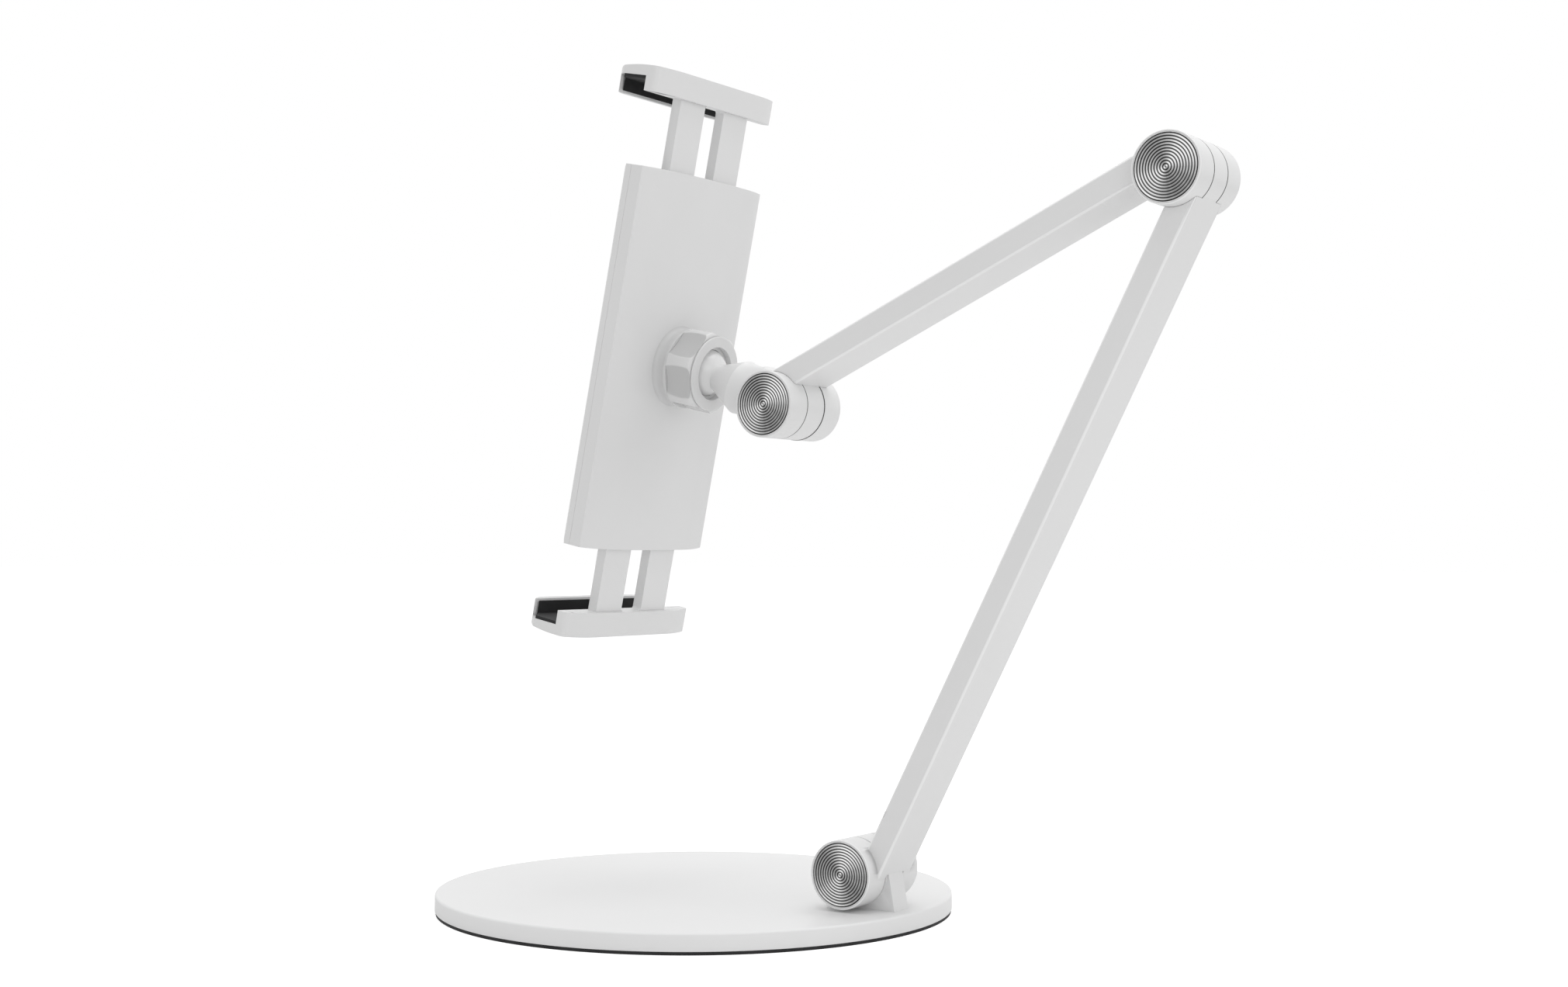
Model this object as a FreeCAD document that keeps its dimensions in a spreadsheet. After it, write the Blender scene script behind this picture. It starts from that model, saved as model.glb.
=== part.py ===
import FreeCAD, Part
import os
import re
import Sketcher

# A table stand that holds a flat slab, such as a picture or a slate, between two spring-loaded jaws.
# Lengths are in millimetres and angles in degrees. Z is up, the hinge pins lie along X,
# the user sits on the -Y side, and the middle of the round foot is the origin.

document = FreeCAD.newDocument("HolderStand")
sheet = document.addObject("Spreadsheet::Sheet", "Sizes")

# Driving dimensions, in the order in which the stand is put together.
DRIVING_SIZES = {
    # Round foot plate and the pad under it
    "base_radius": 85.0,
    "base_height": 6.5,
    "base_edge_round": 0.8,
    "pad_thickness": 0.8,
    "pad_inset": 1.0,
    # Bracket on the foot plate that carries the foot joint
    "foot_rim_gap": 18.63,
    "foot_height": 18.05,
    "stem_width": 8.3,
    "stem_top_reach": 11.2,
    "stem_top_rise": 0.3,
    "stem_rear_reach": 13.3,
    "stem_front_reach": 15.0,
    "stem_neck_reach": 9.8,
    "stem_neck_drop": 3.5,
    "bracket_screw_radius": 2.0,
    "bracket_screw_depth": 7.0,
    "bracket_screw_head": 3.9,
    "bracket_screw_rear": 6.5,
    "bracket_screw_front": 8.5,
    # Fork and tongue joints: one drum of three slices on each pin
    "drum_radius": 10.7,
    "drum_half_width": 14.6,
    "drum_edge_round": 0.3,
    "tongue_width": 9.6,
    "seam": 0.3,
    "slot_clearance": 1.0,
    "shoulder_clearance": 0.6,
    "ear_web": 3.9,
    "bolt_radius": 2.5,
    "bolt_clearance": 0.05,
    "bolt_head_radius": 4.25,
    "bolt_head_height": 2.8,
    "bolt_key_width": 3.0,
    "bolt_key_depth": 1.6,
    "head_pocket_radius": 5.6,
    "nut_width": 8.0,
    "nut_height": 2.9,
    "hard_washer_radius": 5.2,
    "hard_washer_thickness": 0.6,
    "friction_washer_radius": 8.6,
    "friction_washer_play": 0.03,
    "cap_radius": 10.1,
    "cap_thickness": 1.6,
    "cap_clearance": 0.05,
    "cap_bevel": 0.15,
    "cap_skirt_wall": 0.9,
    "cap_skirt_depth": 0.8,
    # Arm tubes, which run beside the pin line so that the arms fold flat
    "tube_width": 19.3,
    "tube_depth": 7.8,
    "tube_offset": 2.2,
    "tube_corner": 0.9,
    "tube_wall": 1.5,
    "root_length": 24.0,
    "web_stop": 2.0,
    "spigot_length": 15.0,
    "spigot_clearance": 0.05,
    "lower_arm_length": 235.14,
    "lower_arm_rise": 62.44,
    "upper_arm_length": 151.2,
    "upper_arm_drop": 24.16,
    # Neck with the ball
    "neck_length": 36.55,
    "neck_rise": 20.68,
    "neck_root_start": 3.0,
    "neck_root_full": 6.5,
    "neck_flare_radius": 12.0,
    "neck_waist_height": 19.5,
    "neck_waist_radius": 9.0,
    "neck_flat_reach": 10.5,
    "neck_cone_top": 29.4,
    "stem_radius": 4.6,
    "ball_radius": 8.1,
    "shank_radius": 2.5,
    "shank_length": 12.0,
    # Ball socket on the back of the holder
    "ball_depth": 24.05,
    "seat_clearance": 0.05,
    "seat_wall": 0.85,
    "seat_play": 0.1,
    "seat_ring_front": 100.0,
    "seat_ring_rear": 112.0,
    "seat_cup_spread": 43.0,
    "socket_foot_radius": 17.0,
    "socket_cove_radius": 5.0,
    "socket_cove_end": 17.0,
    "socket_flange_radius": 13.6,
    "socket_flange_end": 18.6,
    "socket_boss_radius": 11.5,
    "socket_boss_end": 25.1,
    "socket_register_radius": 6.4,
    "socket_screw_circle": 9.8,
    "socket_screw_radius": 1.25,
    "socket_screw_head": 2.4,
    "socket_screw_reach": 5.2,
    # Lobed ring nut that clamps the ball
    "nut_gap": 0.2,
    "nut_crown_radius": 15.0,
    "nut_crown_end": 21.6,
    "nut_shoulder_radius": 13.7,
    "nut_shoulder_end": 27.9,
    "nut_groove_radius": 12.5,
    "nut_groove_end": 28.15,
    "nut_collar_radius": 12.9,
    "nut_collar_end": 28.7,
    "nut_face_radius": 12.6,
    "nut_end": 29.0,
    "nut_thread_gap": 0.1,
    "nut_lip_start": 25.6,
    "nut_mouth_floor": 27.3,
    "nut_lip_gap": 0.12,
    "nut_mouth_radius": 8.9,
    "nut_lobes": 6,
    "nut_turn": 36.0,
    "scallop_radius": 7.0,
    "scallop_depth": 1.95,
    # Holder housing: rear shell, front cover and rubber rest
    "holder_tilt": 11.77,
    "holder_half_width": 33.2,
    "holder_half_length": 62.5,
    "holder_end_bow": 0.56,
    "holder_split": 6.4,
    "holder_ridge": 10.9,
    "holder_back": 13.0,
    "holder_flat_half": 22.0,
    "shell_side_wall": 3.7,
    "shell_end_wall": 3.0,
    "shell_back_wall": 1.8,
    "cover_front": 3.0,
    "cover_bevel": 1.2,
    "rest_half_width": 25.0,
    "rest_half_length": 54.5,
    "rest_corner": 3.0,
    "rest_recess": 0.6,
    "rest_bevel": 0.4,
    "cover_screw_across": 22.0,
    "cover_screw_along": 50.0,
    "cover_screw_radius": 1.25,
    "cover_screw_head": 2.2,
    "cover_screw_reach": 6.6,
    "cover_post_radius": 2.6,
    # Sliders that carry the jaws
    "slider_half_width": 18.65,
    "slider_gap_half": 5.3,
    "slider_front": 7.2,
    "slider_thickness": 3.5,
    "slider_length": 65.65,
    "slider_yoke": 5.0,
    "slider_bar_half": 30.5,
    "slider_bar_height": 2.5,
    "slider_play": 0.1,
    "slider_corner": 1.0,
    # Jaws
    "upper_grip": 90.15,
    "lower_grip": 88.35,
    "jaw_half_width": 33.2,
    "jaw_block_inner": 3.85,
    "jaw_outer": 4.35,
    "jaw_front_outer": 2.1,
    "jaw_back": 12.8,
    "jaw_back_flat_half": 20.0,
    "jaw_corner_start": 8.6,
    "jaw_corner_inset": 1.9,
    "jaw_corner_end": 10.55,
    "jaw_corner_radius": 2.4,
    "jaw_slope_start": 6.0,
    "jaw_side_end": 3.0,
    "jaw_front_half": 24.0,
    "jaw_front_radius": 15.0,
    "jaw_lip_front": 9.5,
    "jaw_lip_rear": 6.9,
    "jaw_lip_reach": 4.75,
    "lining_thickness": 1.0,
    "lining_lip_thickness": 0.6,
    "lining_inset": 0.6,
    "lining_lip_reach": 4.0,
    "lining_front_half": 27.3,
    "jaw_screw_across": 27.0,
    "jaw_screw_radius": 1.0,
    "jaw_screw_head": 1.6,
    "jaw_screw_reach": 6.4,
    # How far a cut runs past the material, and the room left before a screw's tip and round its thread
    "overcut": 1.0,
    "tip_room": 0.4,
    "thread_gap": 0.02,
    # Springs that push the sliders inwards
    "spring_depth": 8.85,
    "spring_radius": 1.75,
    "spring_wire_radius": 0.35,
    "spring_play": 0.05,
}
for row, (word, amount) in enumerate(DRIVING_SIZES.items(), start=1):
    sheet.set("A%d" % row, word)
    sheet.set("B%d" % row, str(amount))
    sheet.setAlias("B%d" % row, word)
document.recompute()


def bound(text):
    """The expression with each named size pointed at its cell of the sheet"""
    return re.sub(r"[a-z_]+", lambda found: "Sizes." + found[0] if found[0] in DRIVING_SIZES else found[0], text)


def value(text):
    """The present number of an expression"""
    return float(sheet.evalExpression(bound(text)))


def frame(start, across, along, up, turn="0"):
    """A frame reached from another by a shift and then a turn about its X axis"""
    step = "placement(vector(%s; %s; %s); rotation(vector(1; 0; 0); %s))" % (across, along, up, turn)
    return start + " * " + step if start else step


# Frames of the joints at rest. In an arm's frame Z runs along the arm and Y points to the tube's side.
FOOT_BACK = "base_radius - foot_rim_gap"
FLOOR = frame("", "0", "0", "0")
FOOT = frame("", "0", FOOT_BACK, "foot_height")
LOWER_ARM = frame(FOOT, "0", "0", "0", "lower_arm_rise - 90")
LOWER_ARM_END = frame(LOWER_ARM, "0", "0", "lower_arm_length")
UPPER_ARM = frame(LOWER_ARM_END, "0", "0", "0", "180 + upper_arm_drop - lower_arm_rise")
UPPER_ARM_END = frame(UPPER_ARM, "0", "0", "upper_arm_length")
NECK = frame(UPPER_ARM_END, "0", "0", "0", "0 - neck_rise - upper_arm_drop")
BALL = frame(NECK, "0", "0", "neck_length")
# In the holder's frame Y is the depth behind the held slab and Z runs up its face.
HOLDER = frame(frame(BALL, "0", "0", "0", "neck_rise - 90 - holder_tilt"), "0", "0 - ball_depth", "0")
# In the socket's frame Z is that same depth.
SOCKET = frame(HOLDER, "0", "0", "0", "-90")
HALF_TURN = " * placement(vector(0; 0; 0); rotation(vector(0; %s; %s); 180))"
UPPER_JAW = frame(HOLDER, "0", "0", "upper_grip")
LOWER_JAW = frame(HOLDER + HALF_TURN % (1, 0), "0", "0", "lower_grip")


def settle(piece, label, where):
    """Gives a finished piece its file name and its place"""
    piece.Label = label
    piece.setExpression("Placement", bound(where))
    document.recompute()
    return piece


def new_body(label, where):
    """An empty body in its frame"""
    body = document.addObject("PartDesign::Body", label)
    return settle(body, label, where)


def new_sketch(body, plane, lift="0"):
    """An empty sketch on one of the body's own planes, shifted along the plane's positive axis"""
    sketch = body.newObject("Sketcher::SketchObject", body.Name + "_sketch")
    origin_plane = next(item for item in body.Origin.OriginFeatures if item.Role == plane + "_Plane")
    sketch.AttachmentSupport = [(origin_plane, "")]
    sketch.MapMode = "FlatFace"
    side = "0 - " if plane == "XZ" else ""
    sketch.setExpression("AttachmentOffset.Base.z", bound(side + "(" + lift + ")"))
    return sketch


def pin_point(sketch, item, end, corner):
    """Holds one end of a line or arc, or a centre, at a corner given by two expressions"""
    for kind, text in zip(("DistanceX", "DistanceY"), corner):
        rule = sketch.addConstraint(Sketcher.Constraint(kind, -1, 1, item, end, value(text)))
        sketch.setExpression("Constraints[%d]" % rule, bound(text))


def pin_radius(sketch, item, text):
    """Holds the radius of a circle or arc"""
    rule = sketch.addConstraint(Sketcher.Constraint("Radius", item, value(text)))
    sketch.setExpression("Constraints[%d]" % rule, bound(text))


def draw_outline(sketch, corners, bends=None):
    """A closed outline; bends maps a corner's number to the radius of the arc that leaves it, after 'left ' or
    'right ' for the side of the way round on which the arc has its centre"""
    bends = bends or {}
    points = [FreeCAD.Vector(value(across), value(up), 0) for across, up in corners]
    first = sketch.GeometryCount
    ends = []
    for number, start in enumerate(points):
        finish = points[(number + 1) % len(points)]
        if number not in bends:
            sketch.addGeometry(Part.LineSegment(start, finish), False)
            ends.append((1, 2))
            continue
        side, radius_text = bends[number].split(" ", 1)
        radius = value(radius_text)
        chord = finish - start
        left = FreeCAD.Vector(-chord.y, chord.x, 0).normalize()
        sign = 1 if side == "left" else -1
        centre = (start + finish) * 0.5 + left * sign * max(radius ** 2 - chord.Length ** 2 / 4, 0) ** 0.5
        middle = centre - left * sign * radius
        sketch.addGeometry(Part.Arc(start, middle, finish), False)
        ends.append((1, 2) if side == "left" else (2, 1))
    count = len(points)
    for number in range(count):
        following = (number + 1) % count
        sketch.addConstraint(Sketcher.Constraint(
            "Coincident", first + number, ends[number][1], first + following, ends[following][0]))
    for number, corner in enumerate(corners):
        pin_point(sketch, first + number, ends[number][0], corner)
    for number, bend in bends.items():
        pin_radius(sketch, first + number, bend.split(" ", 1)[1])


def draw_circle(sketch, across, up, radius):
    """A circle with its centre and radius held"""
    centre = FreeCAD.Vector(value(across), value(up), 0)
    item = sketch.addGeometry(Part.Circle(centre, FreeCAD.Vector(0, 0, 1), value(radius)), False)
    pin_point(sketch, item, 3, (across, up))
    pin_radius(sketch, item, radius)


def draw_box(sketch, left, right, low, high, corner=None):
    """A rectangle, with round corners where a corner radius is given"""
    if corner is None:
        draw_outline(sketch, [(left, low), (right, low), (right, high), (left, high)])
        return
    inner_left, inner_right = "%s + %s" % (left, corner), "%s - %s" % (right, corner)
    inner_low, inner_high = "%s + %s" % (low, corner), "%s - %s" % (high, corner)
    draw_outline(sketch, [
        (inner_left, low), (inner_right, low), (right, inner_low), (right, inner_high),
        (inner_right, high), (inner_left, high), (left, inner_high), (left, inner_low)],
        {1: "left " + corner, 3: "left " + corner, 5: "left " + corner, 7: "left " + corner})


def add_feature(body, kind, sketch):
    """A new last step of the body on a sketch"""
    feature = body.newObject("PartDesign::" + kind, body.Name + "_" + kind)
    feature.Profile = sketch
    sketch.Visibility = False
    body.Tip = feature
    return feature


def faces_backwards(sketch):
    """True where the sketch's normal points against the axis that its plane is named after"""
    return sketch.AttachmentSupport[0][0].Role == "XZ_Plane"


def pad(body, sketch, length, way="both"):
    """Adds material on both sides of the sketch, or along (up) or against (down) its axis"""
    feature = add_feature(body, "Pad", sketch)
    feature.setExpression("Length", bound(length))
    feature.Midplane = way == "both"
    feature.Reversed = (way == "down") != faces_backwards(sketch)
    document.recompute()
    return feature


def pocket(body, sketch, length, way="both"):
    """Takes material away on both sides of the sketch, or along or against its axis"""
    before = body.Shape.Volume
    feature = add_feature(body, "Pocket", sketch)
    feature.setExpression("Length", bound(length))
    feature.Midplane = way == "both"
    feature.Reversed = (way == "up") != faces_backwards(sketch)
    document.recompute()
    if not body.Shape.Volume < before:
        raise ValueError("a pocket of %s takes nothing away" % body.Label)
    return feature


def spin(body, sketch, axis, cut=False):
    """Turns a sketch round one of its own axes, to add or to take away"""
    before = body.Shape.Volume if cut else 0
    feature = add_feature(body, "Groove" if cut else "Revolution", sketch)
    feature.ReferenceAxis = (sketch, [axis])
    feature.Angle = 360
    document.recompute()
    if cut and not body.Shape.Volume < before:
        raise ValueError("a groove of %s takes nothing away" % body.Label)
    return feature


def ease_edges(body, kind, amount, wanted):
    """Rounds or bevels the edges of the last step that a test picks"""
    base = body.Tip
    names = ["Edge%d" % number for number, edge in enumerate(base.Shape.Edges, start=1) if wanted(edge)]
    if not names:
        raise ValueError("no edge to ease on %s" % body.Label)
    feature = body.newObject("PartDesign::" + kind, body.Name + "_" + kind)
    feature.Base = (base, names)
    feature.setExpression("Radius" if kind == "Fillet" else "Size", bound(amount))
    base.Visibility = False
    body.Tip = feature
    document.recompute()
    return feature


def is_circle(edge, radius, axis=None, level=None):
    """True for a round edge of one radius, whose centre may have to lie at one level along an axis"""
    if not isinstance(edge.Curve, Part.Circle) or abs(edge.Curve.Radius - value(radius)) > 0.001:
        return False
    return level is None or abs(getattr(edge.Curve.Center, axis) - value(level)) < 0.001


def turned_axis(axis):
    """The turn that lays a cylinder's own Z axis along another axis"""
    return {"x": "rotation(vector(0; 1; 0); 90)", "y": "rotation(vector(1; 0; 0); -90)",
            "z": "rotation(vector(0; 0; 1); 0)"}[axis]


def round_bar(axis, spot, radius, length, tip_radius=None):
    """A plain cylinder or cone from a spot along an axis"""
    bar = document.addObject("Part::Cylinder" if tip_radius is None else "Part::Cone", "bar")
    if tip_radius is None:
        bar.setExpression("Radius", bound(radius))
    else:
        bar.setExpression("Radius1", bound(radius))
        bar.setExpression("Radius2", bound(tip_radius))
    bar.setExpression("Height", bound(length))
    bar.setExpression("Placement", bound("placement(vector(%s; %s; %s); %s)" % (*spot, turned_axis(axis))))
    return bar


def six_sided_bar(axis, spot, flats, length):
    """A hexagonal bar whose width is measured across its flats"""
    bar = document.addObject("Part::Prism", "hexagon")
    bar.Polygon = 6
    bar.setExpression("Circumradius", bound("(%s) / 2 / cos(30)" % flats))
    bar.setExpression("Height", bound(length))
    bar.setExpression("Placement", bound("placement(vector(%s; %s; %s); %s)" % (*spot, turned_axis(axis))))
    return bar


def joined(pieces):
    """Several shapes made one"""
    whole = document.addObject("Part::MultiFuse", "joined")
    whole.Shapes = pieces
    return whole


def cut_from(whole, tool):
    """One shape less another"""
    rest = document.addObject("Part::Cut", "rest")
    rest.Base = whole
    rest.Tool = tool
    return rest


def grouped(label, where, pieces):
    """Separate like pieces kept together under one name"""
    group = document.addObject("Part::Compound", label)
    group.Links = pieces
    return settle(group, label, where)


def countersunk_screw(axis, spot, radius, head_radius, reach):
    """A flat-headed screw whose head face is at the spot"""
    head = round_bar(axis, spot, head_radius, "%s - %s" % (head_radius, radius), radius)
    return joined([head, round_bar(axis, spot, radius, reach)])


# Foot plate, its pad and the bracket
def make_base_plate():
    """A heavy turned disc with a rounded top edge and two countersunk holes from below"""
    body = new_body("base_plate", FLOOR)
    disc = new_sketch(body, "XY", "pad_thickness")
    draw_circle(disc, "0", "0", "base_radius")
    pad(body, disc, "base_height - pad_thickness", "up")
    ease_edges(body, "Fillet", "base_edge_round", lambda edge: is_circle(edge, "base_radius"))
    holes = new_sketch(body, "XY", "pad_thickness")
    draw_circle(holes, "0", FOOT_BACK + " + bracket_screw_rear", "bracket_screw_radius + bolt_clearance")
    draw_circle(holes, "0", FOOT_BACK + " - bracket_screw_front", "bracket_screw_radius + bolt_clearance")
    pocket(body, holes, "base_height - pad_thickness", "up")
    ease_edges(body, "Chamfer", "bracket_screw_head - bracket_screw_radius", lambda edge: is_circle(
        edge, "bracket_screw_radius + bolt_clearance", "z", "pad_thickness"))


def make_base_pad():
    """A thin rubber disc glued under the plate"""
    body = new_body("base_pad", FLOOR)
    disc = new_sketch(body, "XY")
    draw_circle(disc, "0", "0", "base_radius - pad_inset")
    pad(body, disc, "pad_thickness", "up")


def make_base_bracket():
    """The upright tongue of the foot joint on its flared stem"""
    body = new_body("base_bracket", FOOT)
    floor = "base_height - foot_height"
    stem = new_sketch(body, "YZ")
    draw_outline(stem, [
        ("0", "0"), ("0 - stem_neck_reach", "0 - stem_neck_drop"), ("0 - stem_front_reach", floor),
        ("stem_rear_reach", floor), ("stem_top_reach", "stem_top_rise")])
    pad(body, stem, "stem_width")
    drum = new_sketch(body, "YZ")
    draw_circle(drum, "0", "0", "drum_radius")
    pad(body, drum, "tongue_width")
    bore = new_sketch(body, "YZ")
    draw_circle(bore, "0", "0", "bolt_radius + bolt_clearance")
    pocket(body, bore, "tongue_width")
    holes = new_sketch(body, "XY", floor)
    draw_circle(holes, "0", "bracket_screw_rear", "bracket_screw_radius + bolt_clearance")
    draw_circle(holes, "0", "0 - bracket_screw_front", "bracket_screw_radius + bolt_clearance")
    pocket(body, holes, "bracket_screw_depth", "up")


def make_bracket_screws():
    """Two flat-headed screws from under the plate"""
    screws = [countersunk_screw(
        "z", ("0", along, "pad_thickness"), "bracket_screw_radius", "bracket_screw_head",
        "base_height - pad_thickness + bracket_screw_depth - tip_room")
        for along in (FOOT_BACK + " + bracket_screw_rear", FOOT_BACK + " - bracket_screw_front")]
    grouped("bracket_screws", FLOOR, screws)


# Fork and tongue joints
EAR_INNER = "tongue_width / 2 + seam"
POCKET_FLOOR = EAR_INNER + " + ear_web"
CAP_SEAT = "drum_half_width - cap_thickness"


def draw_ear_recess(body):
    """The turned recess of a fork: a cap seat and a head pocket in each ear, and the bolt's bore"""
    recess = new_sketch(body, "XY")
    past = "drum_half_width + overcut"
    seat_radius, bore_radius = "cap_radius + cap_clearance", "bolt_radius + bolt_clearance"
    near = [(past, "0"), (past, seat_radius), (CAP_SEAT, seat_radius), (CAP_SEAT, "head_pocket_radius"),
            (POCKET_FLOOR, "head_pocket_radius"), (POCKET_FLOOR, bore_radius)]
    far = [("0 - (" + across + ")", up) for across, up in reversed(near)]
    draw_outline(recess, near + far)
    spin(body, recess, "H_Axis", cut=True)


def round_drum_rims(body):
    """The soft outer edges of a drum"""
    ease_edges(body, "Fillet", "drum_edge_round", lambda edge: is_circle(
        edge, "drum_radius", "x", "drum_half_width") or is_circle(edge, "drum_radius", "x", "0 - drum_half_width"))


def draw_tube_section(sketch):
    """The outside of the arm's section, beside the pin line"""
    draw_box(sketch, "0 - tube_width / 2", "tube_width / 2", "tube_offset", "tube_offset + tube_depth", "tube_corner")


def draw_spigot_section(sketch):
    """The section of a spigot that fills the tube's hollow"""
    gap = "tube_wall + spigot_clearance"
    draw_box(sketch, "%s - tube_width / 2" % gap, "tube_width / 2 - (%s)" % gap,
             "tube_offset + %s" % gap, "tube_offset + tube_depth - (%s)" % gap)


def make_fork(label, where):
    """The cast fork at the start of an arm: two ears, the root under the tube's skin and the spigot"""
    body = new_body(label, where)
    root = new_sketch(body, "XY")
    draw_tube_section(root)
    pad(body, root, "root_length", "up")
    drum = new_sketch(body, "YZ")
    draw_circle(drum, "0", "0", "drum_radius")
    pad(body, drum, "drum_half_width * 2")
    spigot = new_sketch(body, "XY", "root_length")
    draw_spigot_section(spigot)
    pad(body, spigot, "spigot_length", "up")
    slot = new_sketch(body, "YZ")
    draw_circle(slot, "0", "0", "drum_radius + slot_clearance")
    pocket(body, slot, "(%s) * 2" % EAR_INNER)
    round_drum_rims(body)
    draw_ear_recess(body)


def make_tongue(label, where):
    """The cast tongue at the end of an arm, with shoulders cut clear of the next fork's ears"""
    body = new_body(label, where)
    root = new_sketch(body, "XY", "0 - root_length")
    draw_tube_section(root)
    pad(body, root, "root_length", "up")
    shoulders = new_sketch(body, "YZ")
    draw_circle(shoulders, "0", "0", "drum_radius + shoulder_clearance")
    pocket(body, shoulders, "tube_width + overcut * 2")
    tongue = new_sketch(body, "YZ")
    outer, inner = "tube_offset + tube_depth", "tube_offset"
    web_end = "web_stop - root_length"
    draw_outline(tongue, [
        (outer, "0 - sqrt(drum_radius ^ 2 - (%s) ^ 2)" % outer), ("0", "drum_radius"), ("0 - drum_radius", "0"),
        (inner, "0 - sqrt(drum_radius ^ 2 - (%s) ^ 2)" % inner), (inner, web_end), (outer, web_end)],
        {0: "left drum_radius", 1: "left drum_radius", 2: "left drum_radius"})
    pad(body, tongue, "tongue_width")
    bore = new_sketch(body, "YZ")
    draw_circle(bore, "0", "0", "bolt_radius + bolt_clearance")
    pocket(body, bore, "tongue_width")
    spigot = new_sketch(body, "XY", "0 - root_length")
    draw_spigot_section(spigot)
    pad(body, spigot, "spigot_length", "down")


def make_tube(label, where, arm_length):
    """The drawn rectangular tube between an arm's two castings"""
    body = new_body(label, where)
    section = new_sketch(body, "XY", "root_length")
    draw_tube_section(section)
    draw_box(section, "tube_wall - tube_width / 2", "tube_width / 2 - tube_wall",
             "tube_offset + tube_wall", "tube_offset + tube_depth - tube_wall")
    pad(body, section, arm_length + " - root_length * 2", "up")


def make_cap(label, where):
    """A turned metal cap, flush in the drum's end, with a skirt that grips the head pocket"""
    body = new_body(label, where)
    profile = new_sketch(body, "XY")
    skirt_outer = "head_pocket_radius - cap_clearance"
    skirt_inner = skirt_outer + " - cap_skirt_wall"
    skirt_end = CAP_SEAT + " - cap_skirt_depth"
    draw_outline(profile, [
        (CAP_SEAT, "0"), ("drum_half_width", "0"), ("drum_half_width", "cap_radius - cap_bevel"),
        ("drum_half_width - cap_bevel", "cap_radius"), (CAP_SEAT, "cap_radius"), (CAP_SEAT, skirt_outer),
        (skirt_end, skirt_outer), (skirt_end, skirt_inner), (CAP_SEAT, skirt_inner)])
    spin(body, profile, "H_Axis")


def make_joint_hardware(name, where):
    """The bolt, nut and washers of a joint and its two caps"""
    head_seat = POCKET_FLOOR + " + hard_washer_thickness"
    shank_end = head_seat + " + nut_height"
    head = round_bar("x", (head_seat, "0", "0"), "bolt_head_radius", "bolt_head_height")
    shank = round_bar("x", ("0 - (%s)" % shank_end, "0", "0"), "bolt_radius", shank_end + " + " + head_seat)
    key = six_sided_bar("x", (head_seat + " + bolt_head_height - bolt_key_depth", "0", "0"),
                        "bolt_key_width", "bolt_key_depth + overcut")
    settle(cut_from(joined([head, shank]), key), name + "_bolt", where)

    nut = six_sided_bar("x", ("0 - (%s)" % shank_end, "0", "0"), "nut_width", "nut_height")
    thread = round_bar("x", ("0 - (%s) - overcut" % shank_end, "0", "0"), "bolt_radius + thread_gap",
                       "nut_height + overcut * 2")
    settle(cut_from(nut, thread), name + "_nut", where)

    hard = [cut_from(round_bar("x", (start, "0", "0"), "hard_washer_radius", "hard_washer_thickness"),
                     round_bar("x", (start + " - overcut", "0", "0"), "bolt_radius + bolt_clearance",
                               "hard_washer_thickness + overcut * 2"))
            for start in (POCKET_FLOOR, "0 - (%s)" % head_seat)]
    grouped(name + "_hard_washers", where, hard)

    soft = [cut_from(round_bar("x", (start, "0", "0"), "friction_washer_radius", "seam - friction_washer_play"),
                     round_bar("x", (start + " - overcut", "0", "0"), "bolt_radius + bolt_clearance",
                               "seam + overcut * 2"))
            for start in ("tongue_width / 2 + friction_washer_play", "0 - (%s)" % EAR_INNER)]
    grouped(name + "_friction_washers", where, soft)

    make_cap(name + "_cap_near", where)
    make_cap(name + "_cap_far", where + HALF_TURN % (0, 1))


# Neck and ball
def make_neck():
    """The cast neck: a fork whose root flares down to a round stem"""
    body = new_body("neck", NECK)
    stem_end = "neck_length - sqrt(ball_radius ^ 2 - stem_radius ^ 2)"
    profile = new_sketch(body, "XZ")
    draw_outline(profile, [
        ("0", "neck_root_start"), ("drum_half_width", "neck_root_start"), ("drum_half_width", "neck_root_full"),
        ("neck_waist_radius", "neck_waist_height"), ("stem_radius", "neck_cone_top"), ("stem_radius", stem_end),
        ("0", stem_end)], {2: "right neck_flare_radius"})
    spin(body, profile, "V_Axis")
    flats = new_sketch(body, "YZ")
    for side in ("", "0 - "):
        past = side + "(drum_half_width + overcut)"
        draw_outline(flats, [
            (side + "neck_flat_reach", "neck_root_start - overcut"), (past, "neck_root_start - overcut"),
            (past, "neck_waist_height"), (side + "neck_waist_radius", "neck_waist_height")])
    pocket(body, flats, "(drum_half_width + overcut) * 2")
    drum = new_sketch(body, "YZ")
    draw_circle(drum, "0", "0", "drum_radius")
    pad(body, drum, "drum_half_width * 2")
    slot = new_sketch(body, "YZ")
    draw_circle(slot, "0", "0", "drum_radius + slot_clearance")
    pocket(body, slot, "(%s) * 2" % EAR_INNER)
    round_drum_rims(body)
    draw_ear_recess(body)
    bore = new_sketch(body, "XY", stem_end)
    draw_circle(bore, "0", "0", "shank_radius + bolt_clearance")
    pocket(body, bore, "shank_length + tip_room", "down")


def make_ball_stud():
    """The ball with a flat against the stem and a shank in it"""
    body = new_body("ball_stud", BALL)
    flat = "0 - sqrt(ball_radius ^ 2 - stem_radius ^ 2)"
    profile = new_sketch(body, "XZ")
    draw_outline(profile, [
        ("0", "ball_radius"), ("0", flat + " - shank_length"), ("shank_radius", flat + " - shank_length"),
        ("shank_radius", flat), ("stem_radius", flat), ("ball_radius", "0")],
        {4: "left ball_radius", 5: "left ball_radius"})
    spin(body, profile, "V_Axis")


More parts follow.
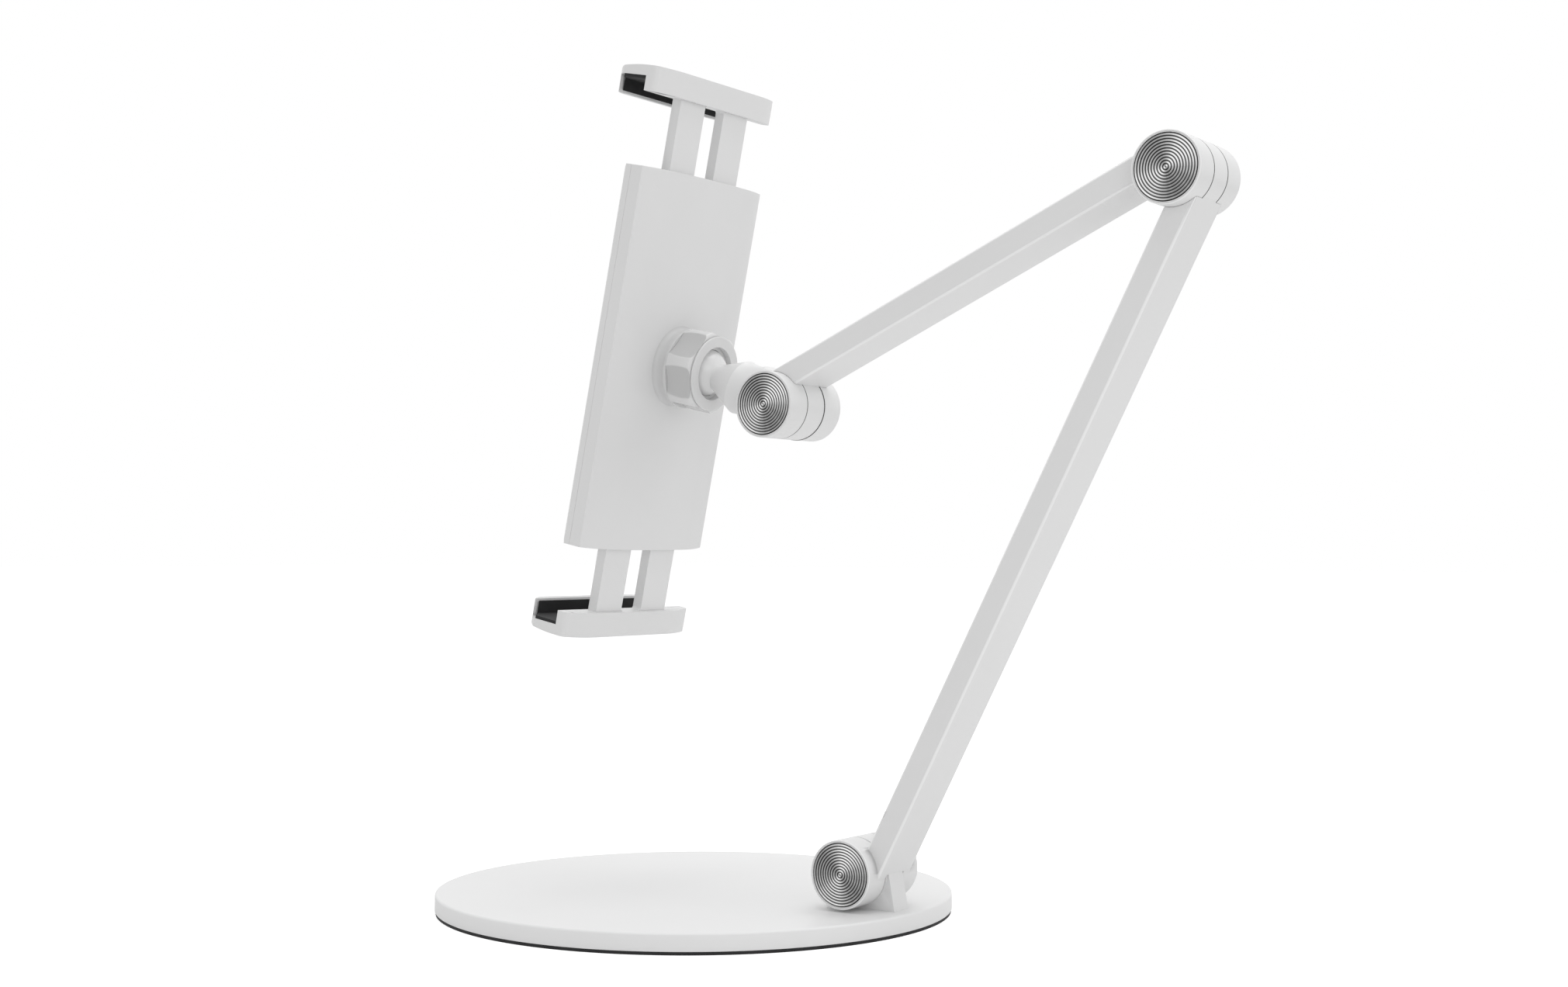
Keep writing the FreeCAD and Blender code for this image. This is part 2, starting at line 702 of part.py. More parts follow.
# Ball socket and ring nut, turned round the depth axis
def round_shell(label, start_angle, end_angle):
    """A liner with round faces inside and outside, between two angles from the socket's mouth"""
    body = new_body(label, SOCKET)
    inner = "ball_radius + seat_clearance"
    outer = "ball_radius + seat_clearance + seat_wall"
    profile = new_sketch(body, "XZ")

    def on_shell(radius, angle):
        return "(%s) * sin(%s)" % (radius, angle), "ball_depth + (%s) * cos(%s)" % (radius, angle)

    draw_outline(profile, [
        on_shell(inner, start_angle), on_shell(outer, start_angle), on_shell(outer, end_angle),
        on_shell(inner, end_angle)], {1: "right " + outer, 3: "left " + inner})
    spin(body, profile, "V_Axis")


def make_seat_cup():
    """The liner under the ball"""
    body = new_body("seat_cup", SOCKET)
    inner = "ball_radius + seat_clearance"
    outer = "ball_radius + seat_clearance + seat_wall"
    profile = new_sketch(body, "XZ")
    draw_outline(profile, [
        ("(%s) * sin(seat_cup_spread)" % inner, "ball_depth - (%s) * cos(seat_cup_spread)" % inner),
        ("(%s) * sin(seat_cup_spread)" % outer, "ball_depth - (%s) * cos(seat_cup_spread)" % outer),
        ("0", "ball_depth - (%s)" % outer), ("0", "ball_depth - (%s)" % inner)],
        {1: "right " + outer, 3: "left " + inner})
    spin(body, profile, "V_Axis")


def make_ball_socket():
    """The flange and threaded boss on the shell's back, with a round seat for the liners"""
    body = new_body("ball_socket", SOCKET)
    inner_face = "holder_back - shell_back_wall"
    profile = new_sketch(body, "XZ")
    draw_outline(profile, [
        ("0", inner_face), ("socket_register_radius", inner_face), ("socket_register_radius", "holder_back"),
        ("socket_foot_radius", "holder_back"), ("socket_flange_radius", "socket_cove_end"),
        ("socket_flange_radius", "socket_flange_end"), ("socket_boss_radius", "socket_flange_end"),
        ("socket_boss_radius", "socket_boss_end"), ("0", "socket_boss_end")], {3: "right socket_cove_radius"})
    spin(body, profile, "V_Axis")
    cavity = new_sketch(body, "XZ")
    cavity_radius = "ball_radius + seat_clearance + seat_wall + seat_play"
    draw_outline(cavity, [
        ("0", "socket_boss_end + overcut"), ("0", "ball_depth - (%s)" % cavity_radius), (cavity_radius, "ball_depth"),
        (cavity_radius, "socket_boss_end + overcut")], {1: "left " + cavity_radius})
    spin(body, cavity, "V_Axis", cut=True)
    holes = new_sketch(body, "XY", "holder_back")
    for across, up in screw_spots("socket_screw_circle"):
        draw_circle(holes, across, up, "socket_screw_radius + bolt_clearance")
    pocket(body, holes, "socket_screw_reach - shell_back_wall + tip_room", "up")


def screw_spots(circle):
    """Four spots on a circle, one in each quarter"""
    spot = circle + " * cos(45)"
    return [(across + spot, up + spot) for across in ("", "0 - ") for up in ("", "0 - ")]


def make_socket_screws():
    """Four flat-headed screws from inside the shell into the socket's flange"""
    screws = [countersunk_screw(
        "z", (across, up, "holder_back - shell_back_wall"), "socket_screw_radius", "socket_screw_head",
        "socket_screw_reach") for across, up in screw_spots("socket_screw_circle")]
    grouped("socket_screws", SOCKET, screws)


def make_ring_nut():
    """The lobed nut: a threaded bore, a lip that holds the ball, a wide mouth and a thin collar round it;
    the finger hollows run out where the crown rounds down to the collar"""
    body = new_body("ring_nut", SOCKET)
    start = "socket_flange_end + nut_gap"
    thread = "socket_boss_radius + nut_thread_gap"
    lip = "sqrt((ball_radius + nut_lip_gap) ^ 2 - (%s - ball_depth) ^ 2)"
    profile = new_sketch(body, "XZ")
    draw_outline(profile, [
        (thread, start), ("nut_crown_radius", start), ("nut_crown_radius", "nut_crown_end"),
        ("nut_shoulder_radius", "nut_shoulder_end"), ("nut_groove_radius", "nut_shoulder_end"),
        ("nut_groove_radius", "nut_groove_end"), ("nut_collar_radius", "nut_groove_end"),
        ("nut_collar_radius", "nut_collar_end"), ("nut_face_radius", "nut_end"), ("nut_mouth_radius", "nut_end"),
        ("nut_mouth_radius", "nut_mouth_floor"), (lip % "nut_mouth_floor", "nut_mouth_floor"),
        (lip % "nut_lip_start", "nut_lip_start"),
        (thread, "nut_lip_start")], {
            2: "left " + easing_radius("nut_shoulder_end - nut_crown_end", "nut_crown_radius - nut_shoulder_radius"),
            11: "left ball_radius + nut_lip_gap"})
    spin(body, profile, "V_Axis")
    hollow = new_sketch(body, "XY", start + " - overcut")
    reach = "(nut_crown_radius - scallop_depth + scallop_radius)"
    draw_circle(hollow, reach + " * cos(nut_turn)", "0 - %s * sin(nut_turn)" % reach, "scallop_radius")
    first = pocket(body, hollow, "nut_end - socket_flange_end + overcut * 2", "up")
    pattern = body.newObject("PartDesign::PolarPattern", "ring_nut_pattern")
    pattern.Originals = [first]
    pattern.Axis = (hollow, ["N_Axis"])
    pattern.Angle = 360
    pattern.setExpression("Occurrences", bound("nut_lobes"))
    body.Tip = pattern
    document.recompute()


# Holder housing
BOW_RADIUS = "(holder_half_width ^ 2 + holder_end_bow ^ 2) / (2 * holder_end_bow)"


def draw_housing_outline(sketch):
    """The housing seen from behind: straight sides and slightly bowed ends"""
    draw_outline(sketch, [
        ("0 - holder_half_width", "0 - holder_half_length"), ("holder_half_width", "0 - holder_half_length"),
        ("holder_half_width", "holder_half_length"), ("0 - holder_half_width", "holder_half_length")],
        {0: "left " + BOW_RADIUS, 2: "left " + BOW_RADIUS})


def cover_screw_spots():
    """Four spots near the housing's corners"""
    return [(across + "cover_screw_across", up + "cover_screw_along") for across in ("", "0 - ") for up in ("", "0 - ")]


def trim_back_margins(body, half_width, flat_half, ridge, back, length):
    """Slopes both side margins of a back face down to a ridge, each on a round that starts level"""
    margins = new_sketch(body, "XY")
    radius = easing_radius("%s - %s" % (half_width, flat_half), "%s - %s" % (back, ridge))
    draw_outline(margins, [
        (flat_half, back), (half_width, ridge), (half_width + " + overcut", ridge), (half_width + " + overcut", back + " + overcut"),
        (flat_half, back + " + overcut")], {0: "right " + radius})
    draw_outline(margins, [
        ("0 - " + flat_half, back), ("0 - " + flat_half, back + " + overcut"), ("0 - %s - overcut" % half_width, back + " + overcut"),
        ("0 - %s - overcut" % half_width, ridge), ("0 - " + half_width, ridge)], {4: "right " + radius})
    pocket(body, margins, length)


def make_holder_shell():
    """The moulded rear shell, hollow for the sliders, with windows for them in both ends"""
    body = new_body("holder_shell", HOLDER)
    outside = new_sketch(body, "XZ", "holder_split")
    draw_housing_outline(outside)
    pad(body, outside, "holder_back - holder_split", "up")
    trim_back_margins(body, "holder_half_width", "holder_flat_half", "holder_ridge", "holder_back",
                      "holder_half_length * 3")
    hollow = new_sketch(body, "XZ", "holder_split")
    draw_box(hollow, "shell_side_wall - holder_half_width", "holder_half_width - shell_side_wall",
             "shell_end_wall - holder_half_length", "holder_half_length - shell_end_wall", "rest_corner")
    pocket(body, hollow, "holder_back - holder_split - shell_back_wall", "up")
    posts = new_sketch(body, "XZ", "holder_split")
    for across, up in cover_screw_spots():
        draw_circle(posts, across, up, "cover_post_radius")
    pad(body, posts, "holder_back - holder_split - shell_back_wall / 2", "up")
    post_holes = new_sketch(body, "XZ", "holder_split")
    for across, up in cover_screw_spots():
        draw_circle(post_holes, across, up, "cover_screw_radius + bolt_clearance")
    pocket(body, post_holes, "holder_back - holder_split - shell_back_wall - tip_room", "up")
    windows = new_sketch(body, "XY")
    for side in ("", "0 - "):
        draw_box(windows, side + "(slider_gap_half - slider_play)", side + "(slider_half_width + slider_play)",
                 "slider_front - slider_play", "slider_front + slider_thickness + slider_play")
    pocket(body, windows, "holder_half_length * 3")
    register = new_sketch(body, "XZ", "holder_split")
    draw_circle(register, "0", "0", "socket_register_radius + bolt_clearance")
    for across, up in screw_spots("socket_screw_circle"):
        draw_circle(register, across, up, "socket_screw_radius + bolt_clearance")
    pocket(body, register, "holder_back - holder_split + overcut", "up")
    ease_edges(body, "Chamfer", "socket_screw_head - socket_screw_radius", lambda edge: is_circle(
        edge, "socket_screw_radius + bolt_clearance", "y", "holder_back - shell_back_wall"))


def make_holder_cover():
    """The front cover with bevelled edges, a recess for the rest and four countersunk holes"""
    body = new_body("holder_cover", HOLDER)
    outside = new_sketch(body, "XZ", "cover_front")
    draw_housing_outline(outside)
    pad(body, outside, "holder_split - cover_front", "up")
    ease_edges(body, "Chamfer", "cover_bevel", lambda edge: all(
        abs(corner.Point.y - value("cover_front")) < 0.001 for corner in edge.Vertexes))
    recess = new_sketch(body, "XZ", "cover_front")
    draw_box(recess, "0 - rest_half_width - cap_clearance", "rest_half_width + cap_clearance",
             "0 - rest_half_length - cap_clearance", "rest_half_length + cap_clearance", "rest_corner")
    pocket(body, recess, "rest_recess", "up")
    holes = new_sketch(body, "XZ", "cover_front")
    for across, up in cover_screw_spots():
        draw_circle(holes, across, up, "cover_screw_radius + bolt_clearance")
    pocket(body, holes, "holder_split - cover_front", "up")
    ease_edges(body, "Chamfer", "cover_screw_head - cover_screw_radius", lambda edge: is_circle(
        edge, "cover_screw_radius + bolt_clearance", "y", "cover_front + rest_recess"))


def make_holder_rest():
    """The rubber pad that the slab leans on"""
    body = new_body("holder_rest", HOLDER)
    outside = new_sketch(body, "XZ")
    draw_box(outside, "0 - rest_half_width", "rest_half_width", "0 - rest_half_length", "rest_half_length",
             "rest_corner")
    pad(body, outside, "cover_front + rest_recess", "up")
    ease_edges(body, "Chamfer", "rest_bevel", lambda edge: all(
        abs(corner.Point.y) < 0.001 for corner in edge.Vertexes))


def make_cover_screws():
    """Four flat-headed screws under the rubber rest"""
    screws = [countersunk_screw(
        "y", (across, "cover_front + rest_recess", up), "cover_screw_radius", "cover_screw_head", "cover_screw_reach")
        for across, up in cover_screw_spots()]
    grouped("cover_screws", HOLDER, screws)


# Sliders, jaws and springs, in a frame on the grip plane with Z pointing away from the housing
SLIDER_MIDDLE = "slider_front + slider_thickness / 2"


def make_slider(label, where):
    """A flat plate of two legs, joined by a yoke inside the housing and by a bar inside the jaw"""
    body = new_body(label, where)
    bar_low = "0 - jaw_block_inner"
    bar_high = bar_low + " + slider_bar_height"
    plate = new_sketch(body, "XZ", "slider_front")
    draw_outline(plate, [
        ("0 - slider_half_width", "0 - slider_length"), ("slider_half_width", "0 - slider_length"),
        ("slider_half_width", bar_low), ("slider_bar_half", bar_low), ("slider_bar_half", bar_high),
        ("0 - slider_bar_half", bar_high), ("0 - slider_bar_half", bar_low), ("0 - slider_half_width", bar_low)])
    draw_box(plate, "0 - slider_gap_half", "slider_gap_half", "slider_yoke - slider_length", bar_low,
             "slider_corner")
    pad(body, plate, "slider_thickness", "up")
    holes = new_sketch(body, "XY", bar_low)
    for across in ("jaw_screw_across", "0 - jaw_screw_across"):
        draw_circle(holes, across, SLIDER_MIDDLE, "jaw_screw_radius + bolt_clearance")
    pocket(body, holes, "slider_bar_height", "up")
    ease_edges(body, "Chamfer", "jaw_screw_head - jaw_screw_radius", lambda edge: is_circle(
        edge, "jaw_screw_radius + bolt_clearance", "z", bar_low))


def easing_radius(run, drop):
    """The radius of a round that starts level and drops by a given amount over a given run"""
    return "((%s) ^ 2 + (%s) ^ 2) / (2 * (%s))" % (run, drop, drop)


def make_jaw(label, where):
    """A moulded jaw: a block behind the slab, a plate over its edge and a lip in front of it"""
    body = new_body(label, where)
    plan = new_sketch(body, "XY", "0 - jaw_lip_reach")
    corner_across = "jaw_half_width - jaw_corner_inset"
    margin = easing_radius(corner_across + " - jaw_back_flat_half", "jaw_back - jaw_corner_end")
    right = [("jaw_front_half", "0 - jaw_lip_front"), ("jaw_half_width", "0 - jaw_side_end"),
             ("jaw_half_width", "jaw_corner_start"), (corner_across, "jaw_corner_end"),
             ("jaw_back_flat_half", "jaw_back")]
    left = [("0 - (%s)" % across, up) for across, up in reversed(right)]
    draw_outline(plan, right + left, {
        0: "left jaw_front_radius", 2: "left jaw_corner_radius", 3: "left " + margin,
        5: "left " + margin, 6: "left jaw_corner_radius", 8: "left jaw_front_radius"})
    pad(body, plan, "jaw_lip_reach + jaw_outer", "up")
    mouth = new_sketch(body, "YZ")
    below = "0 - jaw_lip_reach - overcut"
    draw_outline(mouth, [
        ("0 - jaw_lip_rear", below), ("jaw_back + overcut", below), ("jaw_back + overcut", "0 - jaw_block_inner"),
        ("holder_split", "0 - jaw_block_inner"), ("holder_split", "lining_thickness"),
        ("0 - jaw_lip_rear", "lining_thickness")])
    pocket(body, mouth, "(jaw_half_width + overcut) * 2")
    slope = new_sketch(body, "YZ")
    past = "0 - jaw_lip_front - overcut"
    draw_outline(slope, [
        ("jaw_slope_start", "jaw_outer"), ("jaw_slope_start", "jaw_outer + overcut"), (past, "jaw_outer + overcut"),
        (past, "jaw_front_outer"), ("0 - jaw_lip_front", "jaw_front_outer")],
        {4: "right " + easing_radius("jaw_slope_start + jaw_lip_front", "jaw_outer - jaw_front_outer")})
    pocket(body, slope, "(jaw_half_width + overcut) * 2")
    seat = new_sketch(body, "XY", "0 - jaw_block_inner")
    draw_box(seat, "0 - slider_bar_half - slider_play", "slider_bar_half + slider_play",
             "slider_front - slider_play", "slider_front + slider_thickness + slider_play")
    pocket(body, seat, "slider_bar_height + slider_play / 2", "up")
    holes = new_sketch(body, "XY", "0 - jaw_block_inner")
    for across in ("jaw_screw_across", "0 - jaw_screw_across"):
        draw_circle(holes, across, SLIDER_MIDDLE, "jaw_screw_radius + bolt_clearance")
    pocket(body, holes, "jaw_screw_reach + tip_room", "up")


def make_lining(label, where):
    """The rubber lining under a jaw's plate and behind its lip"""
    body = new_body(label, where)
    profile = new_sketch(body, "YZ")
    lip_face = "lining_lip_thickness - jaw_lip_rear"
    draw_outline(profile, [
        ("holder_split", "0"), ("holder_split", "lining_thickness"), ("0 - jaw_lip_rear", "lining_thickness"),
        ("0 - jaw_lip_rear", "0 - lining_lip_reach"), (lip_face, "0 - lining_lip_reach"), (lip_face, "0")])
    pad(body, profile, "(jaw_half_width - lining_inset) * 2")
    corners = new_sketch(body, "XY", "lining_thickness + overcut")
    for side in ("", "0 - "):
        draw_outline(corners, [
            (side + "(jaw_half_width - lining_inset)", "0 - jaw_side_end"),
            (side + "lining_front_half", "0 - jaw_lip_rear"), (side + "lining_front_half", "0 - jaw_lip_rear - overcut"),
            (side + "(jaw_half_width + overcut)", "0 - jaw_lip_rear - overcut"),
            (side + "(jaw_half_width + overcut)", "0 - jaw_side_end")])
    pocket(body, corners, "lining_thickness + lining_lip_reach + overcut * 2", "down")


def make_jaw_screws(label, where):
    """Two flat-headed screws that hold the slider's bar in the jaw"""
    screws = [countersunk_screw(
        "z", (across, SLIDER_MIDDLE, "0 - jaw_block_inner"), "jaw_screw_radius", "jaw_screw_head", "jaw_screw_reach")
        for across in ("jaw_screw_across", "0 - jaw_screw_across")]
    grouped(label, where, screws)


def make_spring(label, where, grip):
    """A spring between a slider's yoke and the housing's end wall, sealed in and so drawn as a plain sleeve"""
    start = "slider_yoke - slider_length + spring_play"
    room = "holder_half_length - shell_end_wall - %s - (%s)" % (grip, start)
    sleeve = round_bar("z", ("0", "spring_depth", start), "spring_radius + spring_wire_radius",
                       room + " - spring_play")
    hollow = round_bar("z", ("0", "spring_depth", start + " - overcut"), "spring_radius - spring_wire_radius",
                       room + " + overcut * 2")
    settle(cut_from(sleeve, hollow), label, where)


for build_step in (make_base_plate, make_base_pad, make_base_bracket, make_bracket_screws):
    build_step()
for arm, arm_frame, end_frame in (("lower_arm", LOWER_ARM, LOWER_ARM_END), ("upper_arm", UPPER_ARM, UPPER_ARM_END)):
    make_fork(arm + "_fork", arm_frame)
    make_tube(arm + "_tube", arm_frame, arm + "_length")
    make_tongue(arm + "_tongue", end_frame)
for joint, joint_frame in (("foot", LOWER_ARM), ("elbow", UPPER_ARM), ("wrist", NECK)):
    make_joint_hardware(joint, joint_frame)
for build_step in (make_neck, make_ball_stud, make_seat_cup, make_ball_socket, make_socket_screws, make_ring_nut,
                   make_holder_shell, make_holder_cover, make_holder_rest, make_cover_screws):
    build_step()
round_shell("seat_ring", "seat_ring_front", "seat_ring_rear")
for side, side_frame in (("upper", UPPER_JAW), ("lower", LOWER_JAW)):
    make_slider(side + "_slider", side_frame)
    make_jaw(side + "_jaw", side_frame)
    make_lining(side + "_jaw_lining", side_frame)
    make_jaw_screws(side + "_jaw_screws", side_frame)
    make_spring(side + "_spring", side_frame, side + "_grip")

# Nothing is written until every piece is sound.
document.recompute()
for item in document.Objects:
    if any(word in ("Invalid", "Error") for word in item.State):
        raise ValueError("%s could not be made" % item.Label)
used = {piece for item in document.Objects if item.isDerivedFrom("Part::Feature")
        for piece in item.OutList if not item.isDerivedFrom("PartDesign::Body")}
finished = [item for item in document.Objects if item.isDerivedFrom("Part::Feature") and item not in used
            and item.getParentGeoFeatureGroup() is None and "Sketch" not in item.TypeId]
for piece in finished:
    if piece.Shape.isNull() or not piece.Shape.isValid() or not piece.Shape.Solids:
        raise ValueError("%s is not a sound solid" % piece.Label)
os.makedirs("parts", exist_ok=True)
for piece in finished:
    piece.Shape.exportStep(os.path.join("parts", piece.Label + ".step"))
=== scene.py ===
import bmesh
import bpy
import math
from mathutils import Matrix, Vector


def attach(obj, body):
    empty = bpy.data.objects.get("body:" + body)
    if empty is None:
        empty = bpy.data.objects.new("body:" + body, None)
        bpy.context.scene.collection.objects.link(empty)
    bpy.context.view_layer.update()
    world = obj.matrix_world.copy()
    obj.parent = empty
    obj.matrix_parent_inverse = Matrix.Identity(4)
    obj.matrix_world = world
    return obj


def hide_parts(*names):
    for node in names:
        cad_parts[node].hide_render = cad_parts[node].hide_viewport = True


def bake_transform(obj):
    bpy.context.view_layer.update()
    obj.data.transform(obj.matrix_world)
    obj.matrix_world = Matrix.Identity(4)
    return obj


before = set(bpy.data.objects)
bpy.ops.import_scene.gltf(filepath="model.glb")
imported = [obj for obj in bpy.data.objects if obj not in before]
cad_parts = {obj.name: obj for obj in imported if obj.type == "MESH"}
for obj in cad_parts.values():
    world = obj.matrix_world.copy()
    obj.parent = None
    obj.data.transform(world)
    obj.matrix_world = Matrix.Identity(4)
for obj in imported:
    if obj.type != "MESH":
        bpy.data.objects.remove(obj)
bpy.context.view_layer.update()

# Studio: white surroundings light the stand evenly, and look brighter to the camera and in
# reflections. A broad overhead panel lifts the upward faces, weaker panels behind the camera
# and to its right soften the shade, and the white floor keeps the stand's faint shadow.
bpy.context.scene.view_settings.view_transform = "Standard"

WHITE = (1.0, 1.0, 1.0)
FLOOR_WHITE = (0.88, 0.88, 0.88)
FLOOR_ROUGHNESS = 0.9
FLOOR_GLOW = 0.57
FLOOR_REACH = 12.0
SURROUND_LIGHT = 0.62


def new_material(name, base_color, roughness):
    """A material with its Principled shader's plain values set, and its nodes and links at hand"""
    material = bpy.data.materials.new(name)
    material.use_nodes = True
    shader = material.node_tree.nodes["Principled BSDF"]
    shader.inputs["Base Color"].default_value = (*base_color, 1.0)
    shader.inputs["Roughness"].default_value = roughness
    return material, shader, material.node_tree.nodes, material.node_tree.links


def mapped(nodes, links, value, lowest, highest, span=(0.0, 1.0)):
    """A value carried over from its own span to lie between two levels"""
    level = nodes.new("ShaderNodeMapRange")
    level.inputs["From Min"].default_value = span[0]
    level.inputs["From Max"].default_value = span[1]
    level.inputs["To Min"].default_value = lowest
    level.inputs["To Max"].default_value = highest
    links.new(value, level.inputs["Value"])
    return level.outputs["Result"]


def finished_object(name, shape, material):
    """A bmesh made into an object at the origin, with its material"""
    data = bpy.data.meshes.new(name)
    shape.to_mesh(data)
    shape.free()
    data.materials.append(material)
    item = bpy.data.objects.new(name, data)
    bpy.context.scene.collection.objects.link(item)
    return item


def add_panel(name, place, aim, size, power):
    """A soft square light that faces a point"""
    lamp = bpy.data.lights.new(name, "AREA")
    lamp.shape = "RECTANGLE"
    lamp.size = size
    lamp.size_y = size
    lamp.energy = power
    panel = bpy.data.objects.new(name, lamp)
    panel.location = place
    panel.rotation_euler = (Vector(aim) - Vector(place)).to_track_quat("-Z", "Y").to_euler()
    bpy.context.scene.collection.objects.link(panel)


floor_shape = bmesh.new()
bmesh.ops.create_grid(floor_shape, x_segments=1, y_segments=1, size=FLOOR_REACH)
floor_paint, floor_shader, floor_nodes, floor_links = new_material("pale_floor", FLOOR_WHITE, FLOOR_ROUGHNESS)
floor_shader.inputs["Specular IOR Level"].default_value = 0.0
floor_shader.inputs["Emission Color"].default_value = (*WHITE, 1.0)
floor_rays = floor_nodes.new("ShaderNodeLightPath")
floor_glow = floor_nodes.new("ShaderNodeMath")
floor_glow.operation = "MULTIPLY"
floor_glow.inputs[1].default_value = FLOOR_GLOW
floor_links.new(floor_rays.outputs["Is Camera Ray"], floor_glow.inputs[0])
floor_links.new(floor_glow.outputs[0], floor_shader.inputs["Emission Strength"])
finished_object("floor", floor_shape, floor_paint)

surround = bpy.data.worlds.new("white_surroundings")
bpy.context.scene.world = surround
surround.use_nodes = True
surround_nodes = surround.node_tree.nodes
surround_links = surround.node_tree.links
surround_rays = surround_nodes.new("ShaderNodeLightPath")
seen_white = surround_rays.outputs["Is Camera Ray"]
for ray in ("Is Glossy Ray", "Is Transmission Ray"):
    either = surround_nodes.new("ShaderNodeMath")
    either.operation = "MAXIMUM"
    surround_links.new(seen_white, either.inputs[0])
    surround_links.new(surround_rays.outputs[ray], either.inputs[1])
    seen_white = either.outputs[0]
surround_level = mapped(surround_nodes, surround_links, seen_white, SURROUND_LIGHT, 1.0)
surround_back = surround_nodes["Background"]
surround_back.inputs["Color"].default_value = (*WHITE, 1.0)
surround_links.new(surround_level, surround_back.inputs["Strength"])

add_panel("overhead_panel", place=(-0.1, 0.1, 1.3), aim=(0.0, 0.05, 0.1), size=1.2, power=7.6)
add_panel("rear_panel", place=(-0.5, 1.3, 0.5), aim=(0.0, 0.05, 0.15), size=0.7, power=1.2)
add_panel("front_panel", place=(0.8, 1.0, 0.45), aim=(0.0, 0.05, 0.15), size=0.6, power=1.1)

# Camera: solved from the straight edges and round rims of the photographed stand. Its place is
# in metres, and its axes are those of the picture's width, height and depth.
PHOTO_WIDTH = 2021
FOCAL_PIXELS = 2733.13
CAMERA_SENSOR = 36.0
CAMERA_NEAR = 0.01
CAMERA_PLACE = Vector((0.56825, 0.41993, 0.11776))
CAMERA_RIGHT = Vector((-0.560315, 0.828278, 0.001693))
CAMERA_DOWN = Vector((-0.023568, -0.013901, -0.999626))
CAMERA_AHEAD = Vector((-0.827944, -0.560146, 0.027310))

lens = bpy.data.cameras.new("camera")
lens.sensor_fit = "HORIZONTAL"
lens.sensor_width = CAMERA_SENSOR
lens.lens = FOCAL_PIXELS / PHOTO_WIDTH * CAMERA_SENSOR
lens.clip_start = CAMERA_NEAR
camera = bpy.data.objects.new("camera", lens)
bpy.context.scene.collection.objects.link(camera)
camera_axes = Matrix((CAMERA_RIGHT, -CAMERA_DOWN, -CAMERA_AHEAD)).transposed().to_4x4()
camera.matrix_world = Matrix.Translation(CAMERA_PLACE) @ camera_axes
bpy.context.scene.camera = camera

# Foot plate: a heavy steel disc, turned with a rounded top edge and powder coated matt white.
# It is the ballast of the stand, and the bracket is screwed to it from below.
MILLIMETRE = 0.001  # the pieces' sizes below are in millimetres, and the scene's unit is the metre
PLATE_RADIUS = 85.0
PLATE_TOP = 6.5
PLATE_BOTTOM = 1.05
PLATE_TOP_ROUND = 0.8
PLATE_BOTTOM_ROUND = 0.2
PLATE_FACETS = 240
TURNED_MERGE = 0.0005
POWDER_WHITE = (0.85, 0.85, 0.85)
DRIFT_SCALE = 28.0
DRIFT_DETAIL = 3.0
DRIFT_SPAN = (0.3, 0.7)
GRAIN_DETAIL = 1.0


def grain_group():
    """The waviness of a coat or a mould's skin: a soft swell, a fine grain and a slow drift of tone"""
    group = bpy.data.node_groups.new("surface_grain", "ShaderNodeTree")
    for socket in ("Swell Scale", "Grain Scale", "Grain Share"):
        group.interface.new_socket(socket, in_out="INPUT", socket_type="NodeSocketFloat")
    for socket in ("Height", "Drift"):
        group.interface.new_socket(socket, in_out="OUTPUT", socket_type="NodeSocketFloat")
    nodes = group.nodes
    links = group.links
    given = nodes.new("NodeGroupInput")
    result = nodes.new("NodeGroupOutput")
    place = nodes.new("ShaderNodeTexCoord")
    swell, grain, drift = (nodes.new("ShaderNodeTexNoise") for _ in range(3))
    drift.inputs["Scale"].default_value = DRIFT_SCALE
    drift.inputs["Detail"].default_value = DRIFT_DETAIL
    for noise, scale in ((swell, "Swell Scale"), (grain, "Grain Scale")):
        noise.inputs["Detail"].default_value = GRAIN_DETAIL
        links.new(given.outputs[scale], noise.inputs["Scale"])
    for noise in (swell, grain, drift):
        links.new(place.outputs["Object"], noise.inputs["Vector"])
    blend = nodes.new("ShaderNodeMix")
    blend.data_type = "FLOAT"
    links.new(given.outputs["Grain Share"], blend.inputs["Factor"])
    links.new(swell.outputs["Fac"], blend.inputs["A"])
    links.new(grain.outputs["Fac"], blend.inputs["B"])
    links.new(blend.outputs["Result"], result.inputs["Height"])
    links.new(drift.outputs["Fac"], result.inputs["Drift"])
    return group


surface_grain = grain_group()


def multiplied_tint(nodes):
    """Adds a node that multiplies two colours, and gives the sockets of both and of the result"""
    tint = nodes.new("ShaderNodeMix")
    tint.data_type = "RGBA"
    tint.blend_type = "MULTIPLY"
    tint.inputs["Factor"].default_value = 1.0
    first, second = (socket for socket in tint.inputs if socket.type == "RGBA")
    result = next(socket for socket in tint.outputs if socket.type == "RGBA")
    return first, second, result


